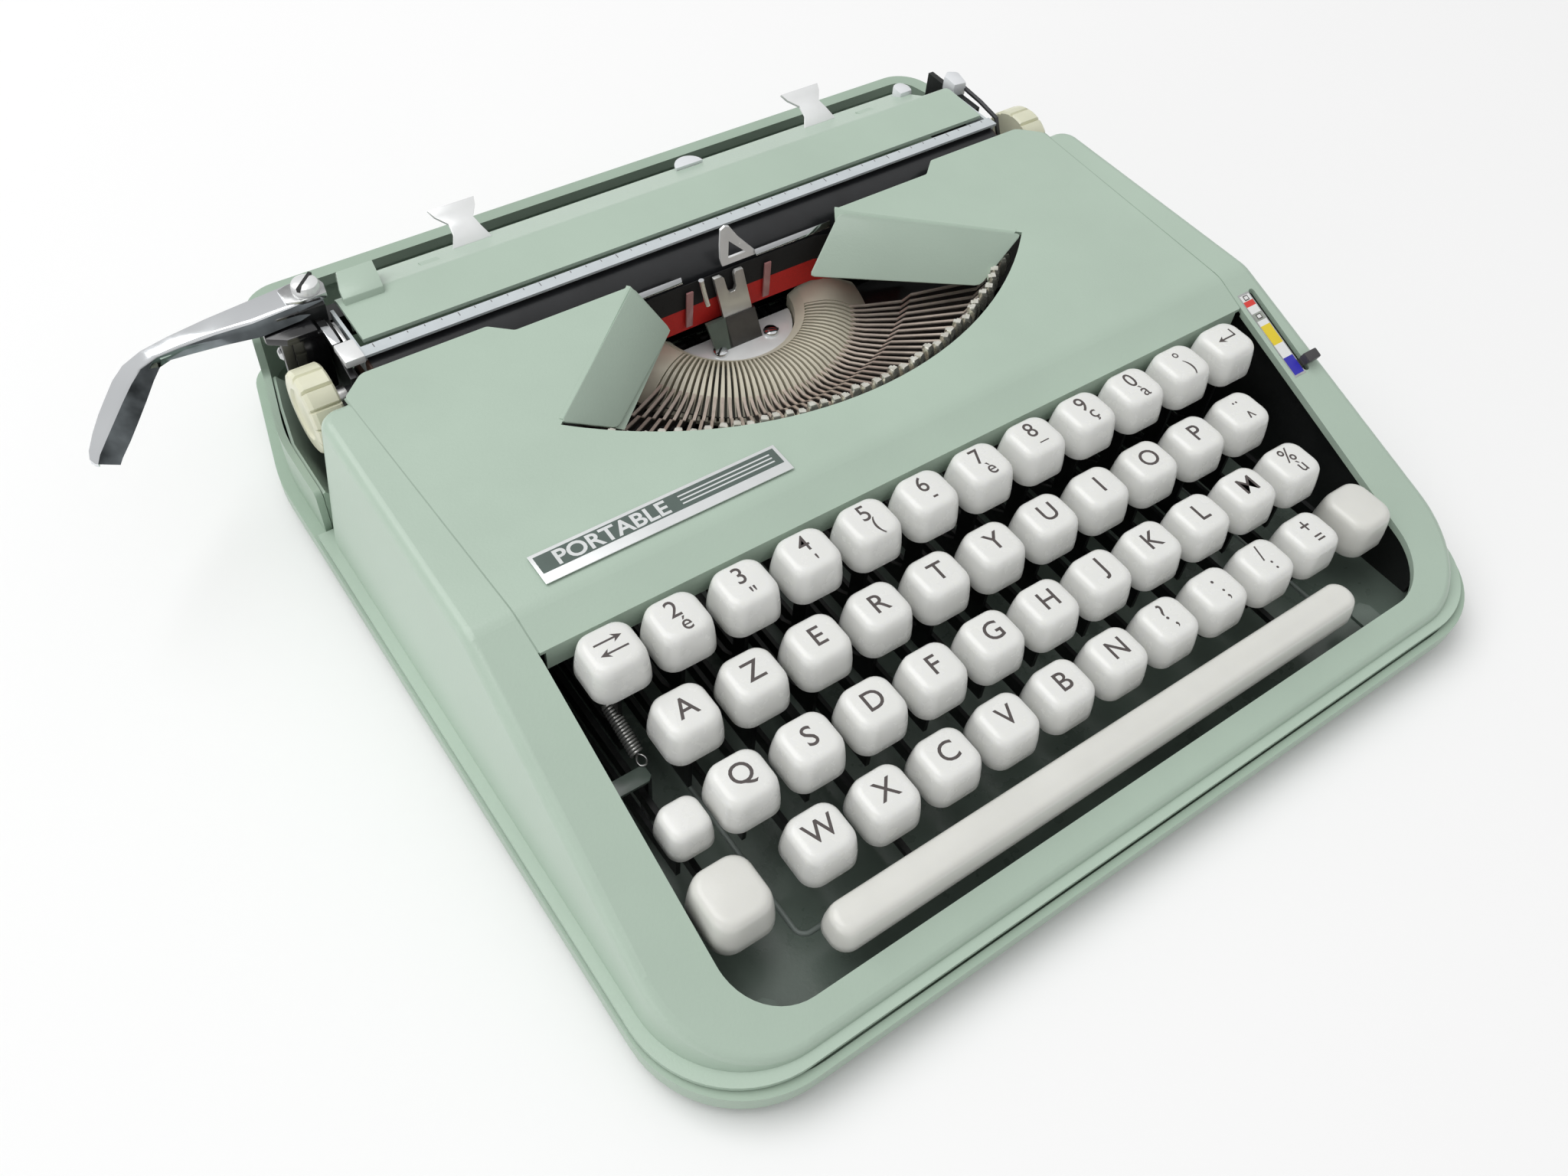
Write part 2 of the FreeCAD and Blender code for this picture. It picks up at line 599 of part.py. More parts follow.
def key_lever(name, y, cap_bottom, thick="lever_thick", bottom="lever_bottom", top="lever_top"):
    """Flat steel lever: a strip with a bored boss on the shaft, and an upright neck under the cap."""
    left = "0 - " + thick + " / 2"
    front = y + " - neck_depth / 2"
    strip = box(name + "_strip", left, front, bottom, thick, "pivot_y - " + y + " + neck_depth / 2 - 1",
                top + " - " + bottom)
    boss = rod_x(name + "_boss", left, "pivot_y", "pivot_z", "boss_radius", thick)
    bore = rod_x(name + "_bore", "-20", "pivot_y", "pivot_z", "pivot_radius + pivot_play", "40")
    arm = cut(name, fuse(name + "_blank", [strip, boss]), bore)
    neck = box(name + "_neck", left, front, top, thick, "neck_depth", cap_bottom + " - " + top)
    return [neck, arm]


ROWS = {
    "number": ["2", "3", "4", "5", "6", "7", "8", "9", "0", "degree", "backspace"],
    "upper": ["a", "z", "e", "r", "t", "y", "u", "i", "o", "p", "diaeresis"],
    "home": ["q", "s", "d", "f", "g", "h", "j", "k", "l", "m", "percent"],
    "lower": ["w", "x", "c", "v", "b", "n", "question", "semicolon", "slash", "plus"],
}


def type_keys():
    """Every key of the four rows: one cap and one lever, placed along the row."""
    for row, legends in ROWS.items():
        y = row + "_row_y"
        top = row + "_row_top"
        cap = key_cap(row + "_cap", "cap_width", "cap_depth", "cap_height", top, y)
        lever = key_lever(row + "_lever", y, top + " - cap_height")
        for i, legend in enumerate(legends, start=1 if row == "number" else 0):
            label = "backspace_key" if legend == "backspace" else "key_" + legend
            place = row + "_row_x + " + str(i) + " * key_pitch"
            publish(compound(label + "_group", [cap] + lever), label, place)


def margin_release_key():
    """Leftmost key of the number row, which stands a little higher than its neighbours."""
    cap = key_cap("margin_cap", "cap_width", "cap_depth", "cap_height", "margin_key_top", "number_row_y")
    lever = key_lever("margin_lever", "number_row_y", "margin_key_top - cap_height")
    publish(compound("margin_group", [cap] + lever), "margin_release_key", "margin_key_x")


def shift_keys():
    """Left and right shift keys, joined by a torsion bar beside the key shaft."""
    cap = key_cap("shift_cap", "shift_cap_width", "shift_cap_depth", "shift_cap_height", "shift_key_top",
                  "shift_key_y", corner="cap_corner + 0.6")
    cap_bottom = "shift_key_top - shift_cap_height"
    neck, lever = key_lever("shift_lever", "shift_key_y", cap_bottom, "lever_thick + 0.4")
    web = box("shift_web", "-0.8", "pivot_y - 12", "7.5", "1.6", "4", "lever_bottom - 7.5")
    arm = fuse("shift_arm", [lever, web])
    sides = []
    for name, x in (("left_shift", "- shift_key_x"), ("right_shift", "shift_key_x")):
        side = compound(name, [cap, neck, arm])
        bind(side, "Placement.Base.x", x)
        sides.append(side)
    bar = box("shift_bar", "- shift_key_x - 1", "pivot_y - 12", "5", "2 * shift_key_x + 2", "4", "2.5")
    publish(compound("shift_group", sides + [bar]), "shift_keys")


def shift_lock_key():
    """Small key above the left shift key, on a lever of its own."""
    cap = key_cap("lock_cap", "lock_cap_width", "lock_cap_depth", "lock_cap_height", "lock_key_top",
                  "lock_key_y", corner="cap_corner - 1.2")
    lever = key_lever("lock_lever", "lock_key_y", "lock_key_top - lock_cap_height")
    side = compound("lock_side", lever)
    bind(side, "Placement.Base.x", "lock_lever_offset")
    publish(compound("lock_group", [cap, side]), "shift_lock_key", "lock_key_x")


def space_bar():
    """Long moulded bar on two levers."""
    bar = key_cap("space_cap", "space_bar_length", "space_bar_depth", "space_bar_height", "space_bar_top",
                  "space_bar_y", taper="4", corner="4.8", edge="3.2")
    arms = []
    bind(bar, "Placement.Base.x", "space_bar_x")
    for name, x in (("left", "space_arm_left"), ("right", "space_arm_right")):
        arm = key_lever(name + "_space_arm", "space_bar_y", "space_bar_top - space_bar_height",
                        "lever_thick + 0.4", "space_lever_bottom", "space_lever_top")
        side = compound(name + "_space_side", arm)
        bind(side, "Placement.Base.x", x)
        arms.append(side)
    publish(compound("space_group", [bar] + arms), "space_bar")


# ---------------------------------------------------------------- carriage

def carriage_rail():
    """Lifting rail under the carriage: it rises on two guide pins and guides the carriage beam."""
    rail = box("rail_beam", "-118", "rail_front", "rail_bottom", "236", "rail_back - rail_front",
               "rail_top - rail_bottom")
    guides = []
    for name, x in (("left_guide", "-62"), ("right_guide", "46")):
        base = box(name + "_base", x, "rail_front - 3", "rail_top", "16",
                   "rail_back - rail_front + 6", "2.4")
        front = box(name + "_front", x, "rail_front - 3", "rail_top", "16", "2.7",
                    "beam_top - rail_top - 0.6")
        rear = box(name + "_rear", x, "rail_back + 0.3", "rail_top", "16", "2.7",
                   "beam_top - rail_top - 0.6")
        guides += [base, front, rear]
    bores = []
    for name, x in (("left_bore", "- guide_pin_x"), ("right_bore", "guide_pin_x")):
        bores.append(rod_z(name, x, "( rail_front + rail_back ) / 2", "0", "guide_pin_radius + 0.05", "60"))
    blank = fuse("rail_blank", [rail] + guides)
    publish(cut("rail", blank, compound("rail_bores", bores)), "carriage_rail")


def carriage_frame():
    """Sliding beam, two end plates with platen bearings, feed-roller bar and the return-lever lug."""
    beam = box("carriage_beam", "- end_plate_x - end_plate_thick", "rail_front", "beam_bottom",
               "2 * end_plate_x + 2 * end_plate_thick",
               "rail_back - rail_front", "beam_top - beam_bottom")
    plates = []
    for name, x in (("left_end", "- end_plate_x - end_plate_thick"), ("right_end", "end_plate_x")):
        plates.append(box(name + "_low", x, "platen_y - 9", "beam_top", "end_plate_thick", "44.5", "13"))
        plates.append(box(name + "_high", x, "platen_y + 10", "beam_top + 13", "end_plate_thick",
                          "25.5", "8.5"))
    table_rest = box("table_rest", "- end_plate_x", "172", "44", "2 * end_plate_x", "4", "4")
    stop_bar = box("stop_bar", "- end_plate_x - end_plate_thick", "178", "beam_top + 2",
                   "2 * end_plate_x + 2 * end_plate_thick", "4", "10")
    lug = box("lever_lug", "lever_pivot_x - 6", "lever_pivot_y - 6", "beam_top + 21", "8.5", "12",
              "lever_base - beam_top - 21.2")
    pin = rod_z("lever_pin", "lever_pivot_x", "lever_pivot_y", "lever_base - 1", "2.5",
                "lever_pin_top - lever_base + 1")
    bores = [rod_x("platen_bore", "-150", "platen_y", "platen_z", "axle_radius + 0.05", "300")]
    bores.append(rod_x("bail_bore", "-150", "bail_pivot_y", "bail_pivot_z", "1.55", "300"))
    blank = fuse("carriage_blank", [beam] + plates + [table_rest, stop_bar, lug, pin])
    publish(cut("carriage", blank, compound("carriage_bores", bores)), "carriage_frame")


def platen():
    """Rubber roller on a steel axle."""
    roller = rod_x("roller", "- platen_half", "platen_y", "platen_z", "platen_radius", "2 * platen_half")
    axle = rod_x("axle", "- axle_half", "platen_y", "platen_z", "axle_radius", "2 * axle_half")
    publish(fuse("platen_roller", [roller, axle]), "platen")


def platen_knobs():
    """Two ribbed knobs on the ends of the platen axle."""
    sides = []
    for name, x in (("left_knob", "- knob_outer"), ("right_knob", "knob_inner")):
        barrel = rod_x(name + "_barrel", x, "platen_y", "platen_z", "knob_radius",
                       "knob_outer - knob_inner")
        hole_x = "- axle_half - 0.02" if name == "left_knob" else "knob_inner - 1"
        hole = rod_x(name + "_hole", hole_x, "platen_y", "platen_z", "axle_radius + 0.02",
                     "axle_half - knob_inner + 1.02")
        sides.append(cut(name, barrel, hole))
    publish(compound("knob_pair", sides), "platen_knobs")


def paper_table():
    """Bent sheet behind the platen that carries the paper."""
    front = size("table_front")
    ridge = size("table_ridge")
    back = size("table_back")
    top = size("table_top")
    thick = size("table_thick")
    outline = [
        (front, top - 0.8, 0), (ridge, top, 6), (back, size("table_back_z"), 0),
        (back - 0.5, size("table_back_z") - thick, 0), (ridge - 0.4, top - thick, 5),
        (front, top - 0.8 - thick, 0),
    ]
    table = across(outline, size("table_half"))
    half = size("table_half")
    for side in (-1, 1):
        corner = Part.makeBox(16, 30, 20, FreeCAD.Vector(-8 + side * (half - 2), ridge + 2, 44))
        table = table.cut(corner)
    legs = []
    for x in (-80, 80):
        post = Part.makeBox(6, 3, 9, FreeCAD.Vector(x - 3, 172.5, 48))
        legs.append(post.common(across([(front, 0, 0), (ridge, 0, 0), (back, 0, 0), (back, 52, 0),
                                        (ridge, top - 0.6, 0), (front, top - 0.6, 0)], 200)))
    table = table.fuse(legs).removeSplitter()
    publish(free_form("table_sheet", table), "paper_table")


def paper_bail():
    """Scale strip that lies over the platen, riveted to two swinging arms."""
    parts = [box("bail_strip", "- bail_half", "bail_y", "bail_z", "2 * bail_half",
                 "bail_width", "bail_thick")]
    for name, x in (("left_bail", "- bail_half"), ("right_bail", "bail_half - 1")):
        arm = box(name + "_arm", x, "bail_y + 1", "bail_z - 6.5", "1", "bail_pivot_y - bail_y + 2", "6.5")
        pin_x = "- end_plate_x - end_plate_thick" if name == "left_bail" else "bail_half"
        pin = rod_x(name + "_pin", pin_x, "bail_pivot_y", "bail_pivot_z", "1.5",
                    "end_plate_x + end_plate_thick - bail_half")
        parts += [arm, pin]
    publish(compound("bail", parts), "paper_bail")


def return_lever():
    """Bent steel lever with a screw head over the pin it turns on, at the carriage's left end."""
    x = size("lever_pivot_x")
    y = size("lever_pivot_y")
    outline = [
        (x + 6, y - 6, 5), (x + 6, y + 6, 5), (x - 6, y + 6.5, 8), (-170.5, 168.6, 9), (-186.6, 136, 2.5),
        (-178, 133.2, 2.5), (-160, 161, 5), (x - 8, y - 5, 12),
    ]
    base = size("lever_base")
    plate = slab(outline, base, base + size("lever_plate"))
    plate = plate.cut(Part.makeCylinder(2.55, 20, FreeCAD.Vector(x, y, base - 5)))
    top = base + size("lever_plate")
    head_height = size("lever_head_top") - top
    head = Part.makeCylinder(size("lever_head_radius"), head_height, FreeCAD.Vector(x, y, top))
    publish(free_form("lever_plate_part", Part.makeCompound([plate, head])), "return_lever")


def color_selector():
    """Ribbon colour selector: a stem in the slot of the right rail with a small knob beside it."""
    slope = math.atan2(size("crease_z") - size("front_ridge_z"), size("crease_y") - size("front_ridge_y"))
    y = size("slot_front") + 2.8
    z = size("crease_z") - (size("crease_y") - y) * math.tan(slope)
    stem = Part.makeBox(1.4, 4, 12.6, FreeCAD.Vector(-0.7, -2, -11))
    head = Part.makeBox(5.6, 4, 2.6, FreeCAD.Vector(-0.7, -2, 0.6))
    head = head.makeFillet(0.8, head.Edges)
    selector = stem.fuse(head)
    selector.rotate(FreeCAD.Vector(0, 0, 0), FreeCAD.Vector(1, 0, 0), math.degrees(slope))
    selector.translate(FreeCAD.Vector(size("slot_x"), y, z))
    publish(free_form("selector", Part.makeCompound([selector])), "color_selector")



base_tray()
body_shell()
ribbon_cover()
lever_frame()
type_basket()
type_keys()
margin_release_key()
shift_keys()
shift_lock_key()
space_bar()
carriage_rail()
carriage_frame()
platen()
platen_knobs()
paper_table()
paper_bail()
return_lever()
color_selector()
document.recompute()

for thing in document.Objects:
    if "Invalid" in thing.State or "Error" in thing.State:
        raise RuntimeError("%s failed: %s" % (thing.Name, thing.State))
for thing in nodes:
    if thing.Shape.isNull() or not thing.Shape.isValid():
        raise RuntimeError("%s has no valid shape" % thing.Label)

os.makedirs("parts", exist_ok=True)
for thing in nodes:
    thing.Shape.exportStep("parts/%s.step" % thing.Label)
whole = Part.makeCompound([thing.Shape for thing in nodes]).BoundBox
print("nodes", len(nodes))
print("box x %.2f..%.2f  y %.2f..%.2f  z %.2f..%.2f" % (
    whole.XMin, whole.XMax, whole.YMin, whole.YMax, whole.ZMin, whole.ZMax))
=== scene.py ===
import json
from math import cos, degrees, hypot, pi, radians, sin, sqrt, tan

import bmesh
import bpy
from mathutils import Matrix, Vector


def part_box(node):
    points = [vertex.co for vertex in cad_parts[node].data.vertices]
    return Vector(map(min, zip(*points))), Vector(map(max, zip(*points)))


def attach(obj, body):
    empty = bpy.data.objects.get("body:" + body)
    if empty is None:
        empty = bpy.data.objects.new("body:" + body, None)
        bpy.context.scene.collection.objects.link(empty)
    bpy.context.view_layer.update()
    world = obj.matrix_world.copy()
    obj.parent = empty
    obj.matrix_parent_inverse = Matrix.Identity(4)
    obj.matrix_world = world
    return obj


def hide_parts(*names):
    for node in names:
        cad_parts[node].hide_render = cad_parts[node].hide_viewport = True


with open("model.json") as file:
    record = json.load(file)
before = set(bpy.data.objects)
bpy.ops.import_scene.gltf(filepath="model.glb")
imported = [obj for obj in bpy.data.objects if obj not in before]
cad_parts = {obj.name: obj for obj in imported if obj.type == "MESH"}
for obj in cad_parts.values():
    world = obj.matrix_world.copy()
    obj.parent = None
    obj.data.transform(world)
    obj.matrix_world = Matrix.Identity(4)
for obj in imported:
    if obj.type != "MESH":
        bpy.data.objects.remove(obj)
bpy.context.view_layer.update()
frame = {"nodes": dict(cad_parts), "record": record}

MM = 0.001

# ---- places, read from the frame

BASKET_Y = 138.0
PLATEN_Y = 146.5
PLATEN_MIDDLE = sum(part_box("platen"), Vector()) / 2
PLATEN_Z = PLATEN_MIDDLE.z / MM
ORIGIN = PLATEN_MIDDLE - Vector((0, PLATEN_Y, PLATEN_Z)) * MM


def pt(x, y, z):
    """A point given in millimetres from the machine's centre line, as a place in the row frame."""
    return ORIGIN + Vector((x, y, z)) * MM


def local_box(node):
    """A CAD node's box in millimetres from the machine's centre line."""
    low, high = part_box(node)
    return (low - ORIGIN) / MM, (high - ORIGIN) / MM


# ---- shader helpers

def new_material(name):
    material = bpy.data.materials.new(name)
    material.use_nodes = True
    tree = material.node_tree
    return material, tree, tree.nodes["Principled BSDF"]


def add_node(tree, kind, output, **inputs):
    """Adds a shader node and returns one of its outputs; an input is a value or another node's output."""
    node = tree.nodes.new("ShaderNode" + kind)
    for name, value in inputs.items():
        socket = node.inputs[name.replace("_", " ")]
        if isinstance(value, bpy.types.NodeSocket):
            tree.links.new(value, socket)
        else:
            socket.default_value = value
    return node.outputs[output]


def coordinates(tree, scale=(1, 1, 1)):
    return add_node(tree, "Mapping", "Vector", Scale=scale, Vector=add_node(tree, "TexCoord", "Object"))


def noise(tree, vector, scale, detail=4.0):
    return add_node(tree, "TexNoise", "Fac", Vector=vector, Scale=scale, Detail=detail, Roughness=0.55)


def ramp(tree, value, stops):
    node = tree.nodes.new("ShaderNodeValToRGB")
    elements = node.color_ramp.elements
    while len(elements) < len(stops):
        elements.new(0.5)
    for element, (place, colour) in zip(elements, stops):
        element.position = place
        element.color = (*colour, 1.0)
    tree.links.new(value, node.inputs["Fac"])
    return node.outputs["Color"]


def spread(tree, value, low, high):
    return add_node(tree, "MapRange", "Result", Value=value, To_Min=low, To_Max=high)


def orange_peel(tree, shader, vector, strength, size):
    """Fine relief of sprayed paint or moulded plastic."""
    height = noise(tree, vector, size, 3.0)
    normal = add_node(tree, "Bump", "Normal", Height=height, Strength=strength, Distance=0.4 * MM)
    tree.links.new(normal, shader.inputs["Normal"])


def shade(factor, colour):
    return tuple(min(1.0, channel * factor) for channel in colour)


def finish_material(name, colour, rough, vary=0.06, grain=90.0, metal=0.0, peel=0.0, peel_size=900.0,
                    stretch=(1, 1, 1), coat=0.0, dirt=None, subsurface=0.0):
    """A surface whose colour, roughness and relief all vary a little with noise."""
    material, tree, shader = new_material(name)
    vector = coordinates(tree, stretch)
    stops = [(0.3, shade(1 - vary, colour)), (0.7, shade(1 + vary, colour))]
    if dirt is not None:
        stops = [(0.22, dirt)] + stops
    tree.links.new(ramp(tree, noise(tree, vector, grain), stops), shader.inputs["Base Color"])
    fine = noise(tree, vector, grain * 4, 6.0)
    tree.links.new(spread(tree, fine, max(0.02, rough - 0.06), rough + 0.07), shader.inputs["Roughness"])
    shader.inputs["Metallic"].default_value = metal
    if coat:
        shader.inputs["Coat Weight"].default_value = coat
        shader.inputs["Coat Roughness"].default_value = 0.12
    if subsurface:
        shader.inputs["Subsurface Weight"].default_value = subsurface
        shader.inputs["Subsurface Radius"].default_value = (0.002, 0.002, 0.0015)
    if peel:
        orange_peel(tree, shader, vector, peel, peel_size)
    return material


SAGE = (0.430, 0.540, 0.448)
SAGE_TRAY = (0.360, 0.465, 0.375)


def tray_material():
    """Enamel pan whose rubber feet, below the pan's underside at 2.5 mm, are black."""
    material, tree, shader = new_material("tray")
    vector = coordinates(tree)
    height = add_node(tree, "SeparateXYZ", "Z", Vector=add_node(tree, "TexCoord", "Object"))
    mask = add_node(tree, "MapRange", "Result", Value=height, From_Min=2.45 * MM, From_Max=2.55 * MM)
    stops = [(0.3, shade(0.95, SAGE_TRAY)), (0.7, shade(1.05, SAGE_TRAY))]
    mix = tree.nodes.new("ShaderNodeMix")
    mix.data_type = "RGBA"
    mix.inputs["A"].default_value = (0.012, 0.012, 0.012, 1.0)
    tree.links.new(ramp(tree, noise(tree, vector, 22.0), stops), mix.inputs["B"])
    tree.links.new(mask, mix.inputs["Factor"])
    tree.links.new(mix.outputs["Result"], shader.inputs["Base Color"])
    tree.links.new(spread(tree, noise(tree, vector, 90.0), 0.34, 0.44), shader.inputs["Roughness"])
    orange_peel(tree, shader, vector, 0.12, 1400.0)
    return material


MATERIALS = {}


ENAMEL = dict(vary=0.035, grain=22.0, peel=0.12, peel_size=1400.0, coat=0.18)

# Colour, roughness and what else finish_material takes.
FINISHES = {
    "sage": (SAGE, 0.36, ENAMEL),
    # Flaps: the cover's sage darkened to 0.84 as painted shade.
    "shaded_flap": (shade(0.84, SAGE), 0.36, ENAMEL),
    # Seam strips: sage darkened as painted shade in the gap.
    "seam": ((0.330, 0.420, 0.345), 0.5, dict(vary=0.05)),
    "dark_sage": ((0.10, 0.13, 0.11), 0.30, dict(vary=0.15, coat=0.2)),
    "pan": ((0.125, 0.160, 0.136), 0.28, dict(vary=0.25, grain=30.0, peel=0.1, coat=0.2)),
    "pan_line": ((0.26, 0.30, 0.28), 0.4, dict(vary=0.1)),
    "black": ((0.010, 0.011, 0.011), 0.42, dict(vary=0.3, grain=60.0, peel=0.15)),
    "black_gloss": ((0.008, 0.008, 0.009), 0.16, dict(vary=0.3, grain=40.0, coat=0.6)),
    "lever": ((0.016, 0.017, 0.017), 0.38, dict(vary=0.3, metal=0.4, grain=120.0)),
    "cap": ((0.78, 0.785, 0.76), 0.26, dict(vary=0.02, grain=60.0, coat=0.25, peel=0.05, subsurface=0.12)),
    "cream": ((0.70, 0.70, 0.66), 0.30, dict(vary=0.03, grain=60.0, coat=0.2, peel=0.05, subsurface=0.10)),
    "ink": ((0.075, 0.062, 0.060), 0.5, dict(vary=0.12, grain=800.0)),
    "ivory": ((0.72, 0.72, 0.55), 0.34, dict(vary=0.05, grain=70.0, coat=0.2, subsurface=0.08)),
    "bail": ((0.62, 0.67, 0.69), 0.34, dict(vary=0.05, metal=0.25)),
    "chrome": ((0.80, 0.82, 0.84), 0.08, dict(vary=0.03, grain=40.0, metal=1.0)),
    "white_chrome": ((0.86, 0.87, 0.87), 0.24, dict(vary=0.05, metal=0.25)),
    "worn_chrome": ((0.60, 0.61, 0.61), 0.20, dict(vary=0.25, grain=130.0, metal=1.0,
                                                   dirt=(0.20, 0.17, 0.14))),
    # Dark chrome whose colour is mottled by noise: a painted reflection.
    "dark_chrome_painted_reflection": ((0.17, 0.19, 0.20), 0.10, dict(vary=0.75, grain=55.0, metal=1.0)),
    "steel": ((0.50, 0.50, 0.49), 0.30, dict(vary=0.10, grain=60.0, metal=1.0, stretch=(12, 1, 1))),
    "bright_steel": ((0.62, 0.62, 0.60), 0.30, dict(vary=0.10, grain=60.0, metal=0.8)),
    "dark_steel": ((0.13, 0.13, 0.135), 0.32, dict(vary=0.2, metal=1.0)),
    "segment": ((0.60, 0.565, 0.455), 0.46, dict(grain=120.0, metal=0.15)),
    # Near-black floor of the segment's slots: painted shade.
    "slot_painted_shade": ((0.050, 0.052, 0.040), 0.6, dict(vary=0.2)),
    # Typebars: their sides near black as painted shade, their tan kept only for a thin lit crest along the
    # top.
    "typebar": ((0.70, 0.60, 0.52), 0.34, dict(vary=0.12, grain=220.0, metal=0.6)),
    "typebar_side": ((0.060, 0.050, 0.044), 0.40, dict(vary=0.3, grain=220.0, metal=0.5)),
    "slug": ((0.90, 0.87, 0.76), 0.24, dict(vary=0.20, grain=420.0, metal=0.85, dirt=(0.16, 0.13, 0.10))),
    "rubber": ((0.018, 0.019, 0.021), 0.30, dict(vary=0.2, grain=80.0, peel=0.12)),
    "platen_end": ((0.060, 0.030, 0.020), 0.5, dict(vary=0.3)),
    "ribbon_black": ((0.010, 0.010, 0.011), 0.75, dict(vary=0.3, grain=2500.0)),
    "ribbon_red": ((0.62, 0.018, 0.014), 0.62, dict(vary=0.12, grain=2500.0)),
    "ribbon_clear": ((0.42, 0.20, 0.20), 0.12, dict(vary=0.05, coat=0.4)),
    "white_paint": ((0.80, 0.81, 0.80), 0.4, dict(vary=0.02)),
    "yellow_paint": ((0.80, 0.62, 0.03), 0.4, dict(vary=0.04)),
    "blue_paint": ((0.030, 0.026, 0.42), 0.4, {}),
    "red_paint": ((0.72, 0.05, 0.04), 0.4, {}),
    "grey_paint": ((0.33, 0.36, 0.32), 0.4, {}),
    "plate_silver": ((0.76, 0.78, 0.78), 0.30, dict(vary=0.04, metal=0.35)),
    "plate_green": ((0.100, 0.135, 0.120), 0.35, dict(metal=0.2)),
    "knob_grey": ((0.055, 0.052, 0.055), 0.42, dict(vary=0.1)),
    "white_plastic": ((0.74, 0.76, 0.78), 0.3, dict(vary=0.03, coat=0.2)),
}


def make_materials():
    MATERIALS["tray"] = tray_material()
    for name, (colour, rough, rest) in FINISHES.items():
        MATERIALS[name] = finish_material(name, colour, rough, **rest)


# ---- mesh helpers

# The body a piece rides on and the material slot it belongs to.
BASKET = ("machine", "type_steel")
CHASSIS = ("machine", "black_frame")
COVER = ("machine", "sage_cover")
TRAY = ("machine", "sage_tray")
CARRIAGE = ("carriage", "black_carriage")
ROLL = ("platen_roll", "ivory_knob")
RETURN_ARM = ("return_arm", "chrome_lever")
SELECTOR = ("selector", "selector_plastic")


def linked(name, data):
    """A new object in the scene."""
    thing = bpy.data.objects.new(name, data)
    bpy.context.scene.collection.objects.link(thing)
    return thing


def finish_piece(name, mesh, material, body, slot, smooth=True, angle=35.0):
    """Makes the object, gives it its finish and lets it ride on a CAD body."""
    piece = linked(name, mesh)
    mesh.materials.append(MATERIALS[material])
    if smooth:
        for polygon in mesh.polygons:
            polygon.use_smooth = True
        mesh.set_sharp_from_angle(angle=radians(angle))
    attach(piece, body)
    return piece


def mesh_from(name, points, faces):
    """points are in machine millimetres."""
    mesh = bpy.data.meshes.new(name)
    mesh.from_pydata([pt(*p) for p in points], [], faces)
    mesh.update()
    work = bmesh.new()
    work.from_mesh(mesh)
    bmesh.ops.remove_doubles(work, verts=work.verts, dist=1e-6)
    bmesh.ops.recalc_face_normals(work, faces=work.faces)
    work.to_mesh(mesh)
    work.free()
    return mesh


def loft(rings):
    """Points and faces of a closed skin over rings that all have the same number of points."""
    count = len(rings[0])
    points = [p for ring in rings for p in ring]
    faces = []
    for r in range(len(rings) - 1):
        for i in range(count):
            j = (i + 1) % count
            faces.append((r * count + i, r * count + j, (r + 1) * count + j, (r + 1) * count + i))
    faces.append(tuple(range(count))[::-1])
    faces.append(tuple(range((len(rings) - 1) * count, len(rings) * count)))
    return points, faces


def joined(skins):
    """Several skins' points and faces as one."""
    points, faces = [], []
    for more_points, more_faces in skins:
        faces += [tuple(i + len(points) for i in face) for face in more_faces]
        points += more_points
    return points, faces


def rounded_ring(half_x, half_y, radius, steps=8):
    """Points of a rounded rectangle about the origin."""
    ring = []
    for quarter, (sx, sy) in enumerate(((1, 1), (-1, 1), (-1, -1), (1, -1))):
        for k in range(steps + 1):
            a = radians(90 * quarter + 90 * k / steps)
            ring.append((sx * (half_x - radius) + radius * cos(a),
                         sy * (half_y - radius) + radius * sin(a)))
    return ring


def bevelled(mesh, width):
    """Rounds a mesh's sharp edges; width is in millimetres."""
    work = bmesh.new()
    work.from_mesh(mesh)
    sharp = [e for e in work.edges if len(e.link_faces) == 2 and e.calc_face_angle(0) > radians(30.0)]
    bmesh.ops.bevel(work, geom=sharp, offset=width * MM, segments=2, profile=0.6, affect="EDGES",
                    clamp_overlap=True)
    work.to_mesh(mesh)
    work.free()


def skin(name, rings, material, body, slot, bevel=0, angle=35.0, turn=None):
    """A piece skinned over rings; turn is a matrix applied in the row frame."""
    mesh = mesh_from(name, *loft(rings))
    if turn is not None:
        mesh.transform(turn)
    if bevel:
        bevelled(mesh, bevel)
    return finish_piece(name, mesh, material, body, slot, angle=angle)


def plate(name, outline, bottom, top, material, body, slot, bevel=0.2, turn=None):
    """A flat piece with a plan outline in millimetres."""
    return skin(name, [[(x, y, z) for x, y in outline] for z in (bottom, top)], material, body, slot, bevel,
                turn=turn)


def block(name, x, y, z, material, body, slot, bevel=0.25, turn=None):
    """A small bracket-like block with rounded edges; x, y and z are pairs in millimetres."""
    outline = [(x[0], y[0]), (x[1], y[0]), (x[1], y[1]), (x[0], y[1])]
    return plate(name, outline, z[0], z[1], material, body, slot, bevel, turn)


def folded_strip(name, path, thick, x0, x1, material, body, slot):
    """Sheet metal bent along a path of (y, z) points, from x0 to x1."""
    left, right = [], []
    for i, (y, z) in enumerate(path):
        before = path[max(0, i - 1)]
        after = path[min(len(path) - 1, i + 1)]
        dy, dz = after[0] - before[0], after[1] - before[1]
        length = hypot(dy, dz)
        ny, nz = -dz / length * thick / 2, dy / length * thick / 2
        left.append((y + ny, z + nz))
        right.append((y - ny, z - nz))
    slab(name, left + right[::-1], x0, x1, material, body, slot, 0.15)


def slab(name, outline, x0, x1, material, body, slot, bevel=0):
    """A flat piece standing across the machine: a (y, z) outline from x0 to x1."""
    return skin(name, [[(x, y, z) for y, z in outline] for x in (x0, x1)], material, body, slot, bevel)


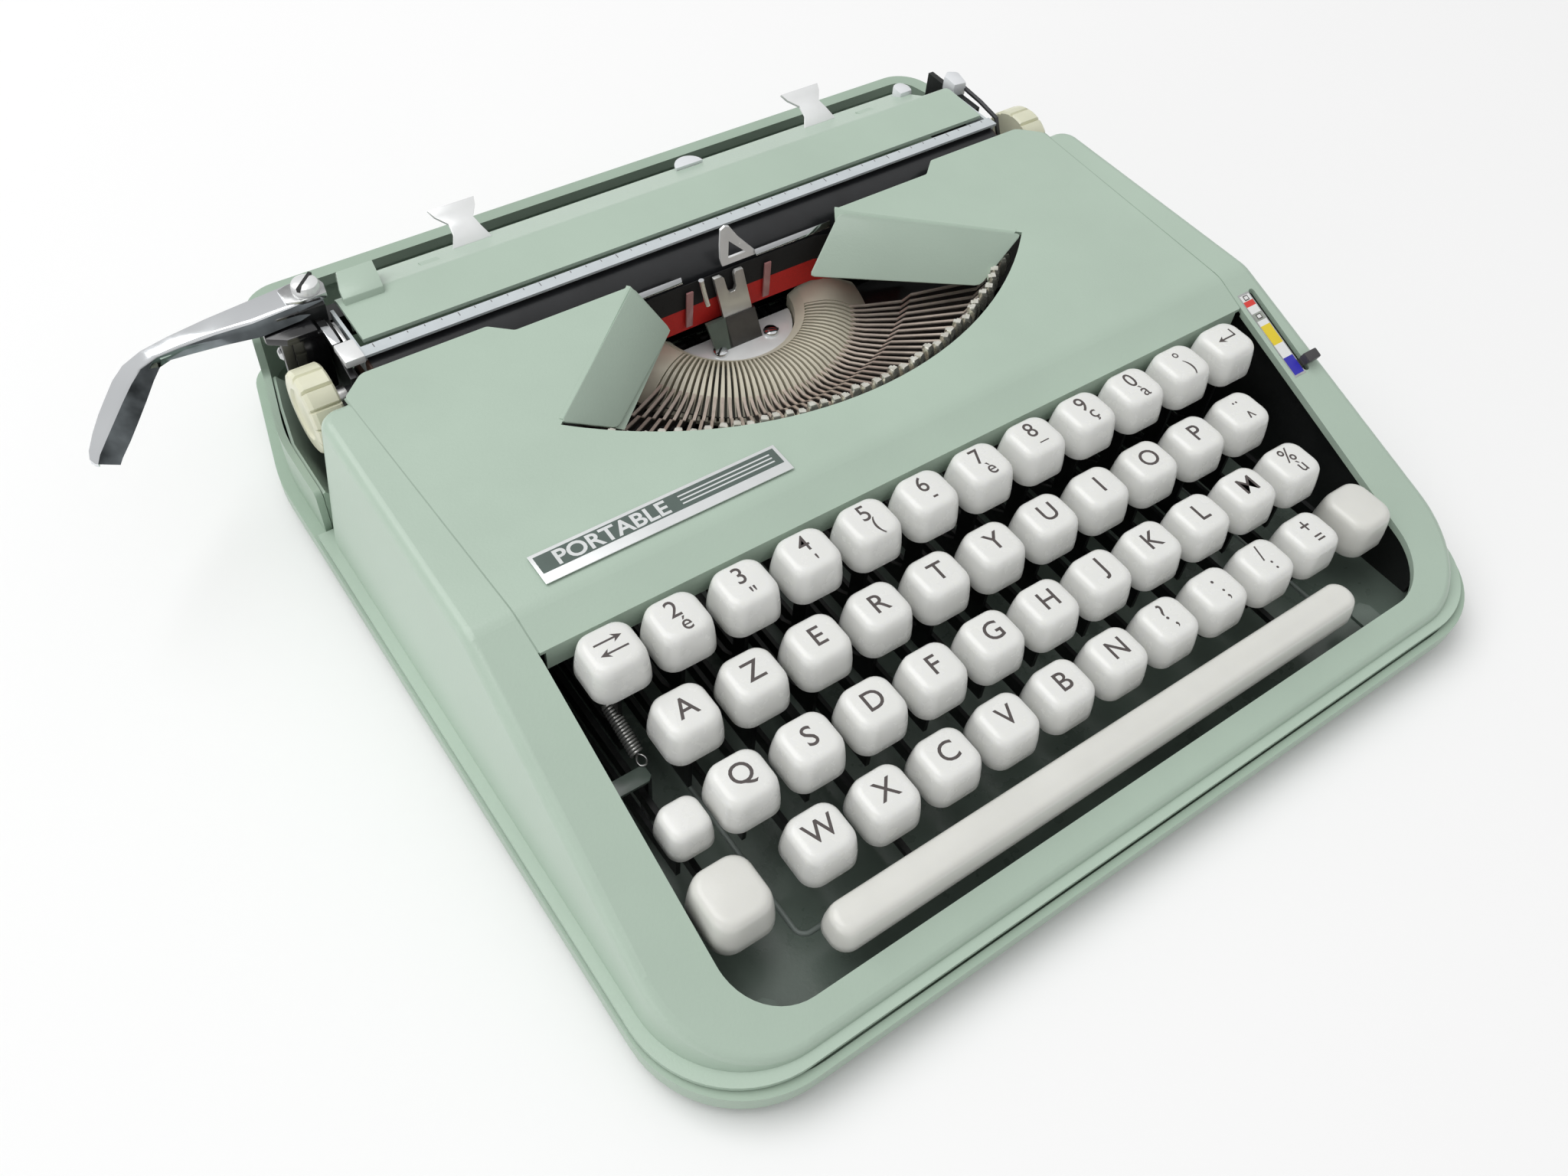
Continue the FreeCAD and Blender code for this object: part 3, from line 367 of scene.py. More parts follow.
def sheet(name, stations, back, drop, material, body, slot, bevel=0.2):
    """Sheet metal through (y, z, left, right) stations; its hidden side lies further back and lower."""
    rings = [[(left, y, z), (right, y, z), (right, y + back, z - drop), (left, y + back, z - drop)]
             for y, z, left, right in stations]
    return skin(name, rings, material, body, slot, bevel)


def revolve(name, profile_points, steps, centre, axis, material, body, slot):
    """Turns (radius, along) points about an axis through centre: 'x' or 'z'."""
    rings = []
    for radius, along in profile_points:
        ring = []
        for k in range(steps):
            a = 2 * pi * k / steps
            u, v = radius * cos(a), radius * sin(a)
            offset = (along, u, v) if axis == "x" else (u, v, along)
            ring.append(tuple(c + o for c, o in zip(centre, offset)))
        rings.append(ring)
    return skin(name, rings, material, body, slot)


def mesh_of_curve(name, curve):
    """Turns a curve or a text into a mesh."""
    source = bpy.data.objects.new(name + "_curve", curve)
    mesh = bpy.data.meshes.new_from_object(source)
    bpy.data.objects.remove(source)
    bpy.data.curves.remove(curve)
    mesh.name = name
    mesh.materials.clear()
    return mesh


def wire(name, points, radius, material, body, slot, smooth=True):
    """A round wire along machine points, as a mesh tube."""
    curve = bpy.data.curves.new(name, "CURVE")
    curve.dimensions = "3D"
    curve.bevel_depth = radius * MM
    curve.bevel_resolution = 3
    curve.use_fill_caps = True
    curve.resolution_u = 6
    spline = curve.splines.new("NURBS" if smooth else "POLY")
    spline.points.add(len(points) - 1)
    for point, place in zip(spline.points, points):
        point.co = (*pt(*place), 1.0)
    if smooth:
        spline.order_u = 3
        spline.use_endpoint_u = True
    finish_piece(name, mesh_of_curve(name, curve), material, body, slot, angle=60.0)


def coil(name, start, stop, radius, turns, wire_radius, material, body, slot):
    """A close-wound tension spring between two points, without its hooks."""
    a, b = Vector(start), Vector(stop)
    along = (b - a).normalized()
    side = along.orthogonal().normalized()
    other = along.cross(side)
    steps = int(turns * 10)
    points = []
    for i in range(steps + 1):
        t = i / steps
        angle = 2 * pi * turns * t
        points.append(tuple(a.lerp(b, t) + radius * (side * cos(angle) + other * sin(angle))))
    wire(name, points, wire_radius, material, body, slot)


def screw(name, x, y, z, radius, height, material, body, slot, slot_angle):
    """Slotted pan-head screw standing on z."""
    profile_points = [(0.01, 0.0), (radius, 0.0), (radius, height * 0.45), (radius * 0.9, height * 0.8),
                      (radius * 0.6, height), (0.01, height)]
    revolve(name, profile_points, 24, (x, y, z), "z", material, body, slot)
    c, s = cos(slot_angle), sin(slot_angle)
    u, v = radius * 0.98, radius * 0.13
    outline = [(x + c * a - s * b, y + s * a + c * b) for a, b in ((-u, -v), (u, -v), (u, v), (-u, v))]
    plate(name + "_slot", outline, z + height * 0.55, z + height + 0.02, "black", body, slot, bevel=0)


# ---- CAD nodes that stay

NODE_FINISH = {
    "base_tray": "tray", "body_shell": "sage", "ribbon_cover": "sage", "lever_frame": "black",
    "carriage_rail": "dark_steel", "carriage_frame": "black", "paper_table": "sage",
    "platen": "rubber", "paper_bail": "bail", "return_lever": "chrome",
}


def dress_nodes():
    for node, finish in NODE_FINISH.items():
        thing = frame["nodes"][node]
        if not thing.material_slots:
            thing.data.materials.append(MATERIALS[finish])
        for place in thing.material_slots:
            place.material = MATERIALS[finish]


# ---- keys

LEGENDS = {
    "key_2": ("2", "é"), "key_3": ("3", "\""), "key_4": ("4", "'"), "key_5": ("5", "("), "key_6": ("6", "-"),
    "key_7": ("7", "è"), "key_8": ("8", "_"), "key_9": ("9", "ç"), "key_0": ("0", "à"),
    "key_degree": ("°", ")"), "key_diaeresis": ("¨", "^"), "key_percent": ("%", "ù"),
    "key_question": ("?", ","), "key_semicolon": (".", ";"), "key_slash": ("/", ":"), "key_plus": ("+", "="),
}


def build_cap(name, x, y, bottom, top, half_x, half_y, corner, finish, body):
    """Moulded cap: a soft rounded square that swells a little below its flat top."""
    height = top - bottom
    levels = [(0.0, -0.25), (0.04, 0.0), (0.3, -0.15), (0.6, -0.5), (0.78, -0.8), (0.86, -1.0), (0.92, -1.35),
              (0.965, -1.85), (0.99, -2.4), (1.0, -3.1)]
    rings = []
    for share, grow in levels:
        radius = max(1.2, min(corner + grow * 0.4, half_y + grow - 0.05))
        ring = rounded_ring(half_x + grow, half_y + grow, radius, 7)
        rings.append([(x + u, y + v, bottom + height * share) for u, v in ring])
    return skin(name, rings, finish, body, "key_white", angle=80.0)


def build_lever(name, x, y, cap_bottom, thick, body):
    """Flat lever with its upright neck, as in the hidden part of a key."""
    pivot_y, pivot_z = 142.0, 16.0
    neck = 21.0 if cap_bottom > 22 else 18.8
    outline = [(y - 2.5, 14.0), (pivot_y, 12.6), (pivot_y + 3.6, pivot_z), (pivot_y, 19.6),
               (pivot_y - 8, 18.5), (y + 6.5, 18.5), (y + 2.5, neck), (y + 2.5, cap_bottom + 0.6),
               (y - 2.5, cap_bottom + 0.6)]
    slab(name, outline, x - thick / 2, x + thick / 2, "lever", body, "key_white")


def lettering(name, words, size, x, y, z, material, body, slot, narrow=1.0, bold=0.03):
    """Flat letters centred on a point, readable from the front; M and 4 would close up if they were bold."""
    curve = bpy.data.curves.new(name, "FONT")
    curve.body = words
    curve.size = size * MM
    curve.extrude = 0.02 * MM
    curve.offset = (0.02 if "M" in words or "4" in words else bold) * MM
    curve.resolution_u = 4
    mesh = mesh_of_curve(name, curve)
    xs = [v.co.x for v in mesh.vertices]
    ys = [v.co.y for v in mesh.vertices]
    middle = Vector(((min(xs) + max(xs)) / 2, (min(ys) + max(ys)) / 2, 0))
    mesh.transform(Matrix.Translation(pt(x, y, z)) @ Matrix.Diagonal((narrow, 1, 1, 1))
                   @ Matrix.Translation(-middle))
    finish_piece(name, mesh, material, body, slot, smooth=False)


def arrow(name, x, y, z, length, d, body):
    """A thin arrow printed on a cap, pointing right where d is 1 and left where it is -1."""
    half = length / 2
    outline = [(x + d * along, y + across) for along, across in (
        (-half, -0.26), (half - 1.9, -0.26), (half - 2.5, -1.25), (half, 0), (half - 2.5, 1.25),
        (half - 1.9, 0.26), (-half, 0.26))]
    plate(name, outline, z, z + 0.04, "ink", body, "key_white", bevel=0)


def body_of_node(node):
    bodies = frame["record"]["behaviour"]["bodies"]
    return next(name for name, members in bodies.items() if node in members)


def key_nodes():
    return [s["node"] for s in frame["record"]["subparts"]
            if s["node"].startswith("key_") or s["node"] in ("margin_release_key", "backspace_key")]


CAP_HEIGHT = 11.0
CAP_DEPTH = 15.6
SPACE_HEIGHT = 8.6


def build_key(node):
    body = body_of_node(node)
    low, high = local_box(node)
    x = (low.x + high.x) / 2
    y = low.y + CAP_DEPTH / 2
    bottom = high.z - CAP_HEIGHT
    cap = build_cap(node + "_cap", x, y, bottom, high.z, (high.x - low.x) / 2, CAP_DEPTH / 2, 4.4, "cap",
                    body)
    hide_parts(node)
    build_lever(node + "_lever", x, y, bottom, 1.2, body)
    print_legend(node, x, y, high.z, body)


def print_legend(node, x, y, top, body):
    z = top + 0.005
    ink = ("ink", body, "key_white")
    if node == "margin_release_key":
        arrow(node + "_arrow_right", x, y + 1.9, top, 7.4, 1, body)
        arrow(node + "_arrow_left", x, y - 1.5, top, 7.4, -1, body)
    elif node == "backspace_key":
        arrow(node + "_arrow", x - 0.2, y + 0.2, top, 7.0, -1, body)
        block(node + "_arrow_tail", (x + 2.8, x + 3.3), (y + 0.2, y + 2.9), (top, top + 0.04), *ink, bevel=0)
    elif node in LEGENDS:
        upper, lower = LEGENDS[node]
        lift = 0.6 if upper in "°¨" else 0.0
        lettering(node + "_upper", upper, 7.2, x - 0.4, y + 2.2 + lift, z, *ink, narrow=0.95)
        lettering(node + "_lower", lower, 6.2, x + 0.4, y - 2.8, z, *ink, narrow=0.95)
    else:
        lettering(node + "_letter", node.split("_")[1].upper(), 7.9, x, y + 0.4, z, *ink, bold=0.05)


def build_shift_keys():
    low, high = local_box("shift_keys")
    half_x, half_y = 8.7, 9.3
    y = low.y + half_y
    bottom = high.z - 12.0
    for side, x in (("left", low.x + half_x), ("right", high.x - half_x)):
        cap = build_cap(side + "_shift_cap", x, y, bottom, high.z, half_x, half_y, 5.2, "cream", "shift_pair")
        if side == "left":
            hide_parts("shift_keys")
        build_lever(side + "_shift_lever", x, y, bottom, 1.6, "shift_pair")
    block("shift_torsion_bar", (low.x + 8, high.x - 8), (130.0, 134.0), (5.2, 7.6), "lever", "shift_pair",
          "key_white")


def build_shift_lock():
    low, high = local_box("shift_lock_key")
    half = 6.2
    x, y = (low.x + high.x) / 2, low.y + half
    bottom = high.z - 9.0
    cap = build_cap("shift_lock_cap", x, y, bottom, high.z, half, half, 3.6, "cap", "shift_lock")
    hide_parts("shift_lock_key")
    build_lever("shift_lock_lever", x - 3.0, y, bottom, 1.2, "shift_lock")


def build_space_bar():
    low, high = local_box("space_bar")
    half = 5.5
    x, y = (low.x + high.x) / 2, low.y + half
    bottom = high.z - SPACE_HEIGHT
    cap = build_cap("space_bar_cap", x, y, bottom, high.z, (high.x - low.x) / 2, half, 4.4, "cream",
                    "space_lever")
    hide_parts("space_bar")
    outline = [(y - 2.5, 12.0), (141.0, 12.0), (145.6, 16.0), (142.0, 19.8), (137.8, 17.0), (136.5, 13.9),
               (y + 2.5, 13.9), (y + 2.5, bottom + 0.6), (y - 2.5, bottom + 0.6)]
    for side, arm in (("left", -62.5), ("right", 70.5)):
        slab(side + "_space_lever", outline, arm - 0.8, arm + 0.8, "lever", "space_lever", "key_white")


# ---- type basket

TYPEBARS = 42
SPREAD = 61.5
SEGMENT_TOP = 31.0
SEGMENT_BASE = 23.2
SEGMENT_END = 82
SLUG_BASE = 44.2
RIBBON_Y = 133.1


def polar(angle, radius, z):
    """A point at an angle from straight ahead and a radius from the basket's centre."""
    a = radians(angle)
    return (radius * sin(a), BASKET_Y - radius * cos(a), z)


def slug_reach(angle):
    """Radius of the type slugs, which follow the well's front arc."""
    half, side_y, front_y = 81.0, 95.0, 63.2
    gap = 6.0 - 2.6 * (angle / 60.0) ** 2
    depth = side_y - front_y
    radius = (half ** 2 + depth ** 2) / (2 * depth)
    offset = BASKET_Y - (front_y + radius)
    along = cos(radians(angle))
    return offset * along + sqrt((radius - gap) ** 2 - offset ** 2 * (1 - along ** 2))


def segment_section(radius):
    """Height of the segment's curved top at a radius."""
    if radius < 26.0:
        return SEGMENT_TOP - 3.5 + (radius - 22.5) / 3.5 * 2.6
    t = (radius - 26.0) / 21.0
    return SEGMENT_TOP - 0.9 + 1.2 * sin(pi * min(1.0, t * 1.3)) - 5.0 * t ** 3


def segment_fin(first, last, slotted):
    """Skin of the segment between two angles, less half a slot at each end where it is slotted."""
    steps = 1 if slotted else 10
    rings = []
    for s in range(steps + 1):
        angle = first + (last - first) * s / steps
        top, low = [], []
        for radius in (24.6, 26, 29, 32, 35, 38, 41, 44, 46, 47):
            gap = degrees(0.42 / radius) if slotted else 0.0
            use = angle + (gap if s == 0 else -gap)
            top.append(polar(use, radius, segment_section(radius)))
            low.append(polar(use, radius, SEGMENT_BASE + 0.6))
        rings.append(top + low[::-1])
    return loft(rings)


def swept(section, first, last):
    """Rings of a (radius, height) section at every second degree round the basket's centre."""
    return [[polar(angle, r, z) for r, z in section] for angle in range(first, last + 1, 2)]


def build_segment():
    """Fins of the slotted segment on a solid inner ring."""
    pitch = 2 * SPREAD / (TYPEBARS - 1)
    slots = [-SPREAD - pitch / 2 + pitch * i for i in range(TYPEBARS + 1)]
    skins = [segment_fin(-SEGMENT_END, slots[0], False)]
    skins += [segment_fin(first, last, True) for first, last in zip(slots, slots[1:])]
    skins.append(segment_fin(slots[-1], SEGMENT_END, False))
    mesh = mesh_from("segment_fins", *joined(skins))
    fins = finish_piece("segment_fins", mesh, "segment", *BASKET, angle=30.0)
    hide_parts("type_basket")
    section = [(22.5, SEGMENT_BASE), (46.6, SEGMENT_BASE), (46.6, SEGMENT_BASE + 1.2),
               (25.4, SEGMENT_BASE + 3.4), (25.4, segment_section(25.4) + 0.2),
               (24.0, segment_section(24.0) + 0.1), (22.5, SEGMENT_TOP - 3.4)]
    skin("segment_ring", swept(section, -SEGMENT_END, SEGMENT_END), "segment", *BASKET, angle=40.0)
    # A near-black floor under the fins, as painted shade in the slots.
    section = [(26.5, 26.0), (45.9, 24.6), (45.9, 26.0), (26.5, 28.4)]
    skin("segment_floor", swept(section, -61, 59), "slot_painted_shade", *BASKET)


def bar_strip(name, angle, top_line, low_line, half, material):
    """Flat bar between two (radius, height) lines, standing along a ray from the basket's centre."""
    a = radians(angle)
    line = [polar(angle, radius, z) for radius, z in top_line + low_line[::-1]]
    rings = [[(x + side * cos(a), y + side * sin(a), z) for x, y, z in line] for side in (-half, half)]
    skin(name, rings, material, *BASKET, angle=30.0)


def build_typebar(index):
    """One typebar with its bent arm and its two-character slug."""
    angle = -SPREAD + 2 * SPREAD * index / (TYPEBARS - 1)
    reach = slug_reach(angle)
    name = "typebar_%02d" % (index + 1)
    knee = 50.0 + (reach - 72.0) * 0.45
    top_line = [(30.0, 28.4), (45.0, 29.2), (knee, 30.6), (knee + 2.5, 33.2), (reach - 6.5, 38.6),
                (reach - 3.0, 44.0), (reach - 1.2, 45.5)]
    low_line = [(30.0, 27.0), (45.0, 27.4), (knee, 28.2), (knee + 3.2, 31.0), (reach - 5.4, 36.2),
                (reach - 2.2, 41.4), (reach - 1.2, 43.0)]
    # The bar's sides are near black as painted shade; the crest above carries its tan as the lit top edge.
    bar_strip(name, angle, top_line, low_line, 0.42, "typebar_side")
    crest = [(radius, z - 0.45) for radius, z in top_line]
    bar_strip(name + "_crest", angle, [(radius, z + 0.03) for radius, z in top_line], crest, 0.46, "typebar")
    build_slug(index + 1, angle, reach)


def build_slug(number, angle, reach):
    """Type slug: a small curved block with two raised characters, turned and set a little unevenly."""
    a = radians(angle + 9.0 * sin(number * 2.3))
    lift = SLUG_BASE + 0.45 * sin(number * 3.1)
    middle = polar(angle, reach + 0.55 * sin(number * 1.7), 0.0)
    name = "type_slug_%02d" % number

    def place(side, u, w):
        return (middle[0] + u * sin(a) + side * cos(a),
                middle[1] - u * cos(a) + side * sin(a), lift + w)

    section = [(-1.5, 0.0), (0.4, -0.6), (0.9, 1.5), (1.0, 3.6), (0.6, 5.4), (-0.2, 6.3), (-1.5, 6.2),
               (-1.9, 4.4), (-1.7, 2.0)]
    blocks = [(((-1.4, 0.78), (-1.0, 1.0), (1.0, 1.0), (1.4, 0.78)), section)]
    for rise in (1.1, 4.3):
        mark = [(-2.35, rise), (-1.6, rise - 0.2), (-1.3, rise + 1.7), (-2.35, rise + 1.5)]
        blocks.append((((-0.75, 1.0), (0.75, 1.0)), mark))
    skins = [loft([[place(side, u * grow, 3.0 + (w - 3.0) * grow) for u, w in outline]
                   for side, grow in sides]) for sides, outline in blocks]
    finish_piece(name, mesh_from(name, *joined(skins)), "slug", *BASKET, angle=40.0)


def build_basket_plate():
    """Bright clamp plate inside the segment with its two screws."""
    outline = [(-21.0, 132.6)]
    outline += [polar(-73 + 146 * k / 24, 22.0, 0)[:2] for k in range(25)]
    outline += [(21.0, 132.6), (7.4, 132.6), (6.6, 131.0), (-6.6, 131.0), (-7.4, 132.6)]
    top = SEGMENT_BASE + 1.2
    plate("segment_plate", outline, SEGMENT_BASE, top, "white_chrome", *BASKET)
    for label, x, turn in (("left", -9.6, 0.7), ("right", 9.6, -0.4)):
        screw("segment_screw_" + label, x, 125.6, top, 2.5, 1.4, "chrome", *BASKET, turn)


def build_type_guide():
    """Forked guide that centres each typebar, standing on the clamp plate."""
    half = 5.3
    low_x, low_y, low_z = -0.6, 129.6, 33.5
    top_x, top_y, top_z = -3.6, 131.6, 48.6
    outline = [(-half, 0.0), (half, 0.0), (half, 1.0), (2.6, 1.0), (1.8, 0.94), (1.6, 0.66), (0.8, 0.56),
               (-0.8, 0.56), (-1.6, 0.66), (-1.8, 0.94), (-2.6, 1.0), (-half, 1.0)]
    rings = [[(u + low_x + (top_x - low_x) * t, low_y + (top_y - low_y) * t + depth,
               low_z + (top_z - low_z) * t)
              for u, t in outline] for depth in (0.0, 1.4)]
    skin("type_guide", rings, "bright_steel", *BASKET, bevel=0.25)
    foot = SEGMENT_BASE + 1.2
    sheet("type_guide_stem", [(125.6, foot, -5.6, 6.4), (129.4, 33.8, -5.6, 5.4)], 1.2, 0, "dark_steel",
          *BASKET, bevel=0)
    sheet("type_guide_wing", [(125.6, foot, -10.6, -4.6), (129.4, 33.8, -12.5, -5.6)], 1.2, 0, "dark_sage",
          *BASKET, bevel=0)
    wire("ribbon_post", [(-11.4, 130.8, 40.5), (-12.6, 131.3, 45.0), (-13.4, 131.8, 50.0)], 0.9, "chrome",
         *BASKET)


def ribbon_band(name, bottom, top, material):
    """Part of the ribbon's width, stretched across in front of the platen between two heights."""
    stations = [(-62, -9.0, -6.5), (-44, -2.0, -2.5), (-30, 0, 0), (0, 0.3, 0), (30, 0, 0), (44, -2.0, -2.5),
                (62, -9.0, -6.5)]
    rings = []
    for x, dy, dz in stations:
        y = RIBBON_Y + dy
        rings.append([(x, y, bottom + dz), (x, y, top + dz), (x, y + 0.12, top + dz),
                      (x, y + 0.12, bottom + dz)])
    skin(name, rings, material, *BASKET, angle=60.0)


def build_ribbon():
    ribbon_band("ribbon_lower", 31.5, 40.0, "ribbon_red")
    ribbon_band("ribbon_upper", 40.0, 49.0, "ribbon_black")
    for label, x in (("left", -17.0), ("right", 11.5)):
        outline = [(132.0, 33.5), (132.0, 46.5), (132.7, 46.5), (132.7, 33.5)]
        slab("ribbon_guide_" + label, outline, x - 1.2, x + 1.2, "ribbon_clear", *BASKET, bevel=0.2)


def build_card_holder():
    """Chrome bar and pointed finger that hold a card against the platen."""
    for label, x0, x1 in (("left", -35.0, -19.0), ("right", 7.5, 36.0)):
        folded_strip("card_bar_" + label, [(133.4, 49.8), (134.4, 51.6)], 0.7, x0, x1, "chrome", *BASKET)
    outline = [(-4.0, 0.0), (9.0, 0.0), (8.0, 0.10), (2.4, 0.60), (-0.6, 0.95), (-2.2, 1.0), (-3.8, 0.94),
               (-4.4, 0.55), (-4.6, 0.2)]
    hole = [(-1.8, 0.16), (4.6, 0.16), (-1.2, 0.60)]
    low_y, low_z, top_y, top_z = 134.4, 49.6, 136.6, 62.0
    work = bmesh.new()
    edges = []
    for loop in (outline, hole):
        ring = [work.verts.new(pt(u, low_y + (top_y - low_y) * t, low_z + (top_z - low_z) * t))
                for u, t in loop]
        edges += [work.edges.new((vert, ring[k - 1])) for k, vert in enumerate(ring)]
    bmesh.ops.triangle_fill(work, use_beauty=True, edges=edges)
    made = bmesh.ops.extrude_face_region(work, geom=work.faces[:])
    moved = [v for v in made["geom"] if isinstance(v, bmesh.types.BMVert)]
    bmesh.ops.translate(work, verts=moved, vec=Vector((0, 0.7, 0.14)) * MM)
    bmesh.ops.recalc_face_normals(work, faces=work.faces)
    mesh = bpy.data.meshes.new("card_finger")
    work.to_mesh(mesh)
    work.free()
    finish_piece("card_finger", mesh, "white_chrome", *BASKET)


# ---- carriage

KNOB_FLATS = 13
TABLE_REAR = (177.0, 51.3)


def fluted_ring(x, radius, depth):
    """One ring of a knob's barrel, with narrow grooves between wide flats."""
    ring = []
    for k in range(KNOB_FLATS * 10):
        a = 2 * pi * k / (KNOB_FLATS * 10)
        r = radius - (depth if k % 10 == 0 else 0.0)
        ring.append((x, PLATEN_Y + r * cos(a), PLATEN_Z + r * sin(a)))
    return ring


def build_knobs():
    low, high = local_box("platen_knobs")
    radius = (high.y - low.y) / 2
    for side, d, outer in (("left", -1, low.x), ("right", 1, high.x)):
        inner = d * 123.5
        rings = [fluted_ring(x, radius - less, groove) for x, less, groove in (
            (inner, 2.5, 0.0), (inner, 0.6, 0.3), (inner + d * 0.6, 0.0, 1.0), (outer - d * 1.4, 0.0, 1.0),
            (outer - d * 0.4, 0.7, 0.8), (outer, 1.8, 0.0), (outer, 4.5, 0.0), (outer - d * 0.7, 5.2, 0.0))]
        knob = skin(side + "_knob", rings, "ivory", *ROLL, angle=30.0)
        if side == "left":
            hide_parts("platen_knobs")
        revolve(side + "_knob_bush", [(1.0, 0.0), (3.6, 0.0), (3.6, d * -4.0), (1.0, d * -4.0)], 24,
                (inner + d * 0.2, PLATEN_Y, PLATEN_Z), "x", "steel", *ROLL)


def build_platen_ends():
    for label, side in (("left", -1), ("right", 1)):
        profile_points = [(3.0, 0.0), (11.3, 0.0), (11.3, side * 0.6), (10.6, side * 1.0), (3.0, side * 1.0)]
        revolve("platen_end_" + label, profile_points, 48, (side * 112.0, PLATEN_Y, PLATEN_Z), "x",
                "platen_end", "platen_roll", "platen_rubber")


def ruler_ticks():
    """Raised scale marks on the paper bail."""
    low, high = local_box("paper_bail")
    step = 5.08
    count = int((high.x - low.x - 12) / step)
    ticks = []
    for i in range(count + 1):
        x = -count * step / 2 + i * step
        if abs(x) > 110:
            continue
        front, back = 148.0 - (1.6 if i % 5 == 0 else 0.8), 148.0
        ticks.append(loft([[(x - 0.1, front, z), (x + 0.1, front, z), (x + 0.1, back, z), (x - 0.1, back, z)]
                           for z in (56.2, 56.24)]))
    finish_piece("bail_scale", mesh_from("bail_scale", *joined(ticks)), "ink", "bail_arm", "bail_steel",
                 smooth=False)


def build_margin_stop(label, x):
    """Spring-steel stop with a waisted top plate, a dark front and a pin beside it."""
    stations = [(y, z, x - half, x + half) for y, z, half in (
        (176.6, 44.0, 4.2), (177.0, 49.5, 5.0), (177.6, 53.0, 6.4), (180.4, 55.6, 4.6), (184.4, 56.6, 4.0),
        (188.0, 57.6, 6.6), (190.6, 58.6, 7.6))]
    sheet("margin_stop_" + label, stations, 0.5, 0.9, "white_chrome", *CARRIAGE)
    stations = [(y, z, x - half, x + half) for y, z, half in (
        (175.4, 41.0, 4.6), (175.9, 47.0, 5.4), (176.5, 52.2, 6.8))]
    sheet("margin_stop_front_" + label, stations, 0.9, 0.2, "dark_sage", *CARRIAGE)
    block("margin_stop_shoe_" + label, (x - 5.0, x + 5.0), (177.4, 183.2), (36.6, 43.8), "dark_steel",
          *CARRIAGE)
    pin = [(0.0, 0.0), (1.7, 0.2), (2.0, 0.8), (2.0, 7.6), (1.6, 8.2), (0.0, 8.4)]
    revolve("margin_stop_pin_" + label, pin, 24, (x + 11.0, 180.0, 43.0), "z", "chrome", *CARRIAGE)


def build_carriage_trim():
    """Tabs, ears and end pieces seen on the carriage."""
    stations = [(163.2, 49.5, -109.2, -98.6), (163.6, 56.0, -109.5, -98.2), (165.0, 59.2, -109.4, -97.6),
                (168.0, 60.3, -109.0, -97.2), (175.6, 60.2, -106.6, -96.0), (178.6, 57.6, -106.0, -95.8),
                (179.4, 54.0, -106.0, -95.8)]
    sheet("carriage_tab", stations, 1.0, 1.4, "sage", *CARRIAGE, bevel=0.4)
    build_margin_stop("left", -64.5)
    build_margin_stop("right", 64.0)
    outline = []
    for k in range(17):
        a = radians(180 * k / 16)
        outline.append((12.5 + 5.0 * cos(a), 178.6 + 4.6 * sin(a)))
    plate("paper_rest_tab", outline, 52.6, 53.6, "white_plastic", *CARRIAGE)
    ear = [(96.6, 175.4), (102.0, 175.4), (102.6, 178.5), (101.2, 181.6), (98.0, 181.6), (96.6, 179.0)]
    plate("carriage_release_ear", ear, 49.6, 55.4, "white_plastic", *CARRIAGE, bevel=1.2)
    ear = [(112.6, 166.4), (117.6, 165.6), (119.4, 172.6), (116.0, 174.8), (113.0, 172.6)]
    plate("paper_release_ear", ear, 53.4, 58.8, "white_plastic", *CARRIAGE, bevel=1.0)
    folded_strip("right_end_strap", [(146.0, 48.0), (149.0, 54.2), (158.0, 55.6), (170.0, 56.4)], 0.9, 117.0,
                 118.4, "dark_steel", *CARRIAGE)
    folded_strip("left_end_strap", [(141.0, 44.0), (144.0, 50.5), (152.0, 54.6), (165.0, 55.4)], 1.0, -118.4,
                 -116.6, "dark_steel", *CARRIAGE)
    for k in range(8):
        revolve("table_rivet_%d" % (k + 1), [(0.0, -0.3), (1.2, 0.0), (0.9, 0.35), (0.0, 0.45)], 16,
                (-91.0 + 26.0 * k, *TABLE_REAR), "z", "white_chrome", "carriage", "sage_table")


def build_bail_fittings():
    """Arm and clip at the bail's left end."""
    folded_strip("bail_link_outer", [(152.6, 56.0), (157.0, 56.5), (163.0, 56.2)], 0.9, -118.6, -116.2,
                 "chrome", *CARRIAGE)
    folded_strip("bail_link_inner", [(152.6, 55.8), (157.0, 56.4), (161.0, 56.0)], 0.8, -115.4, -114.4,
                 "worn_chrome", *CARRIAGE)
    block("bail_clip_left", (-118.8, -113.0), (143.4, 151.6), (54.7, 57.2), "white_chrome", "bail_arm",
          "bail_steel", bevel=0.7)


def corner_bend(outer, corner, inner):
    """Five points round the lever's edge, between its top and its face."""
    near = [c + (o - c) * 0.22 for o, c in zip(outer, corner)]
    far = [c + (i - c) * 0.45 for i, c in zip(inner, corner)]
    return [tuple((1 - t) ** 2 * u + 2 * t * (1 - t) * v + t * t * w for u, v, w in zip(near, corner, far))
            for t in (0, 0.25, 0.5, 0.75, 1)]


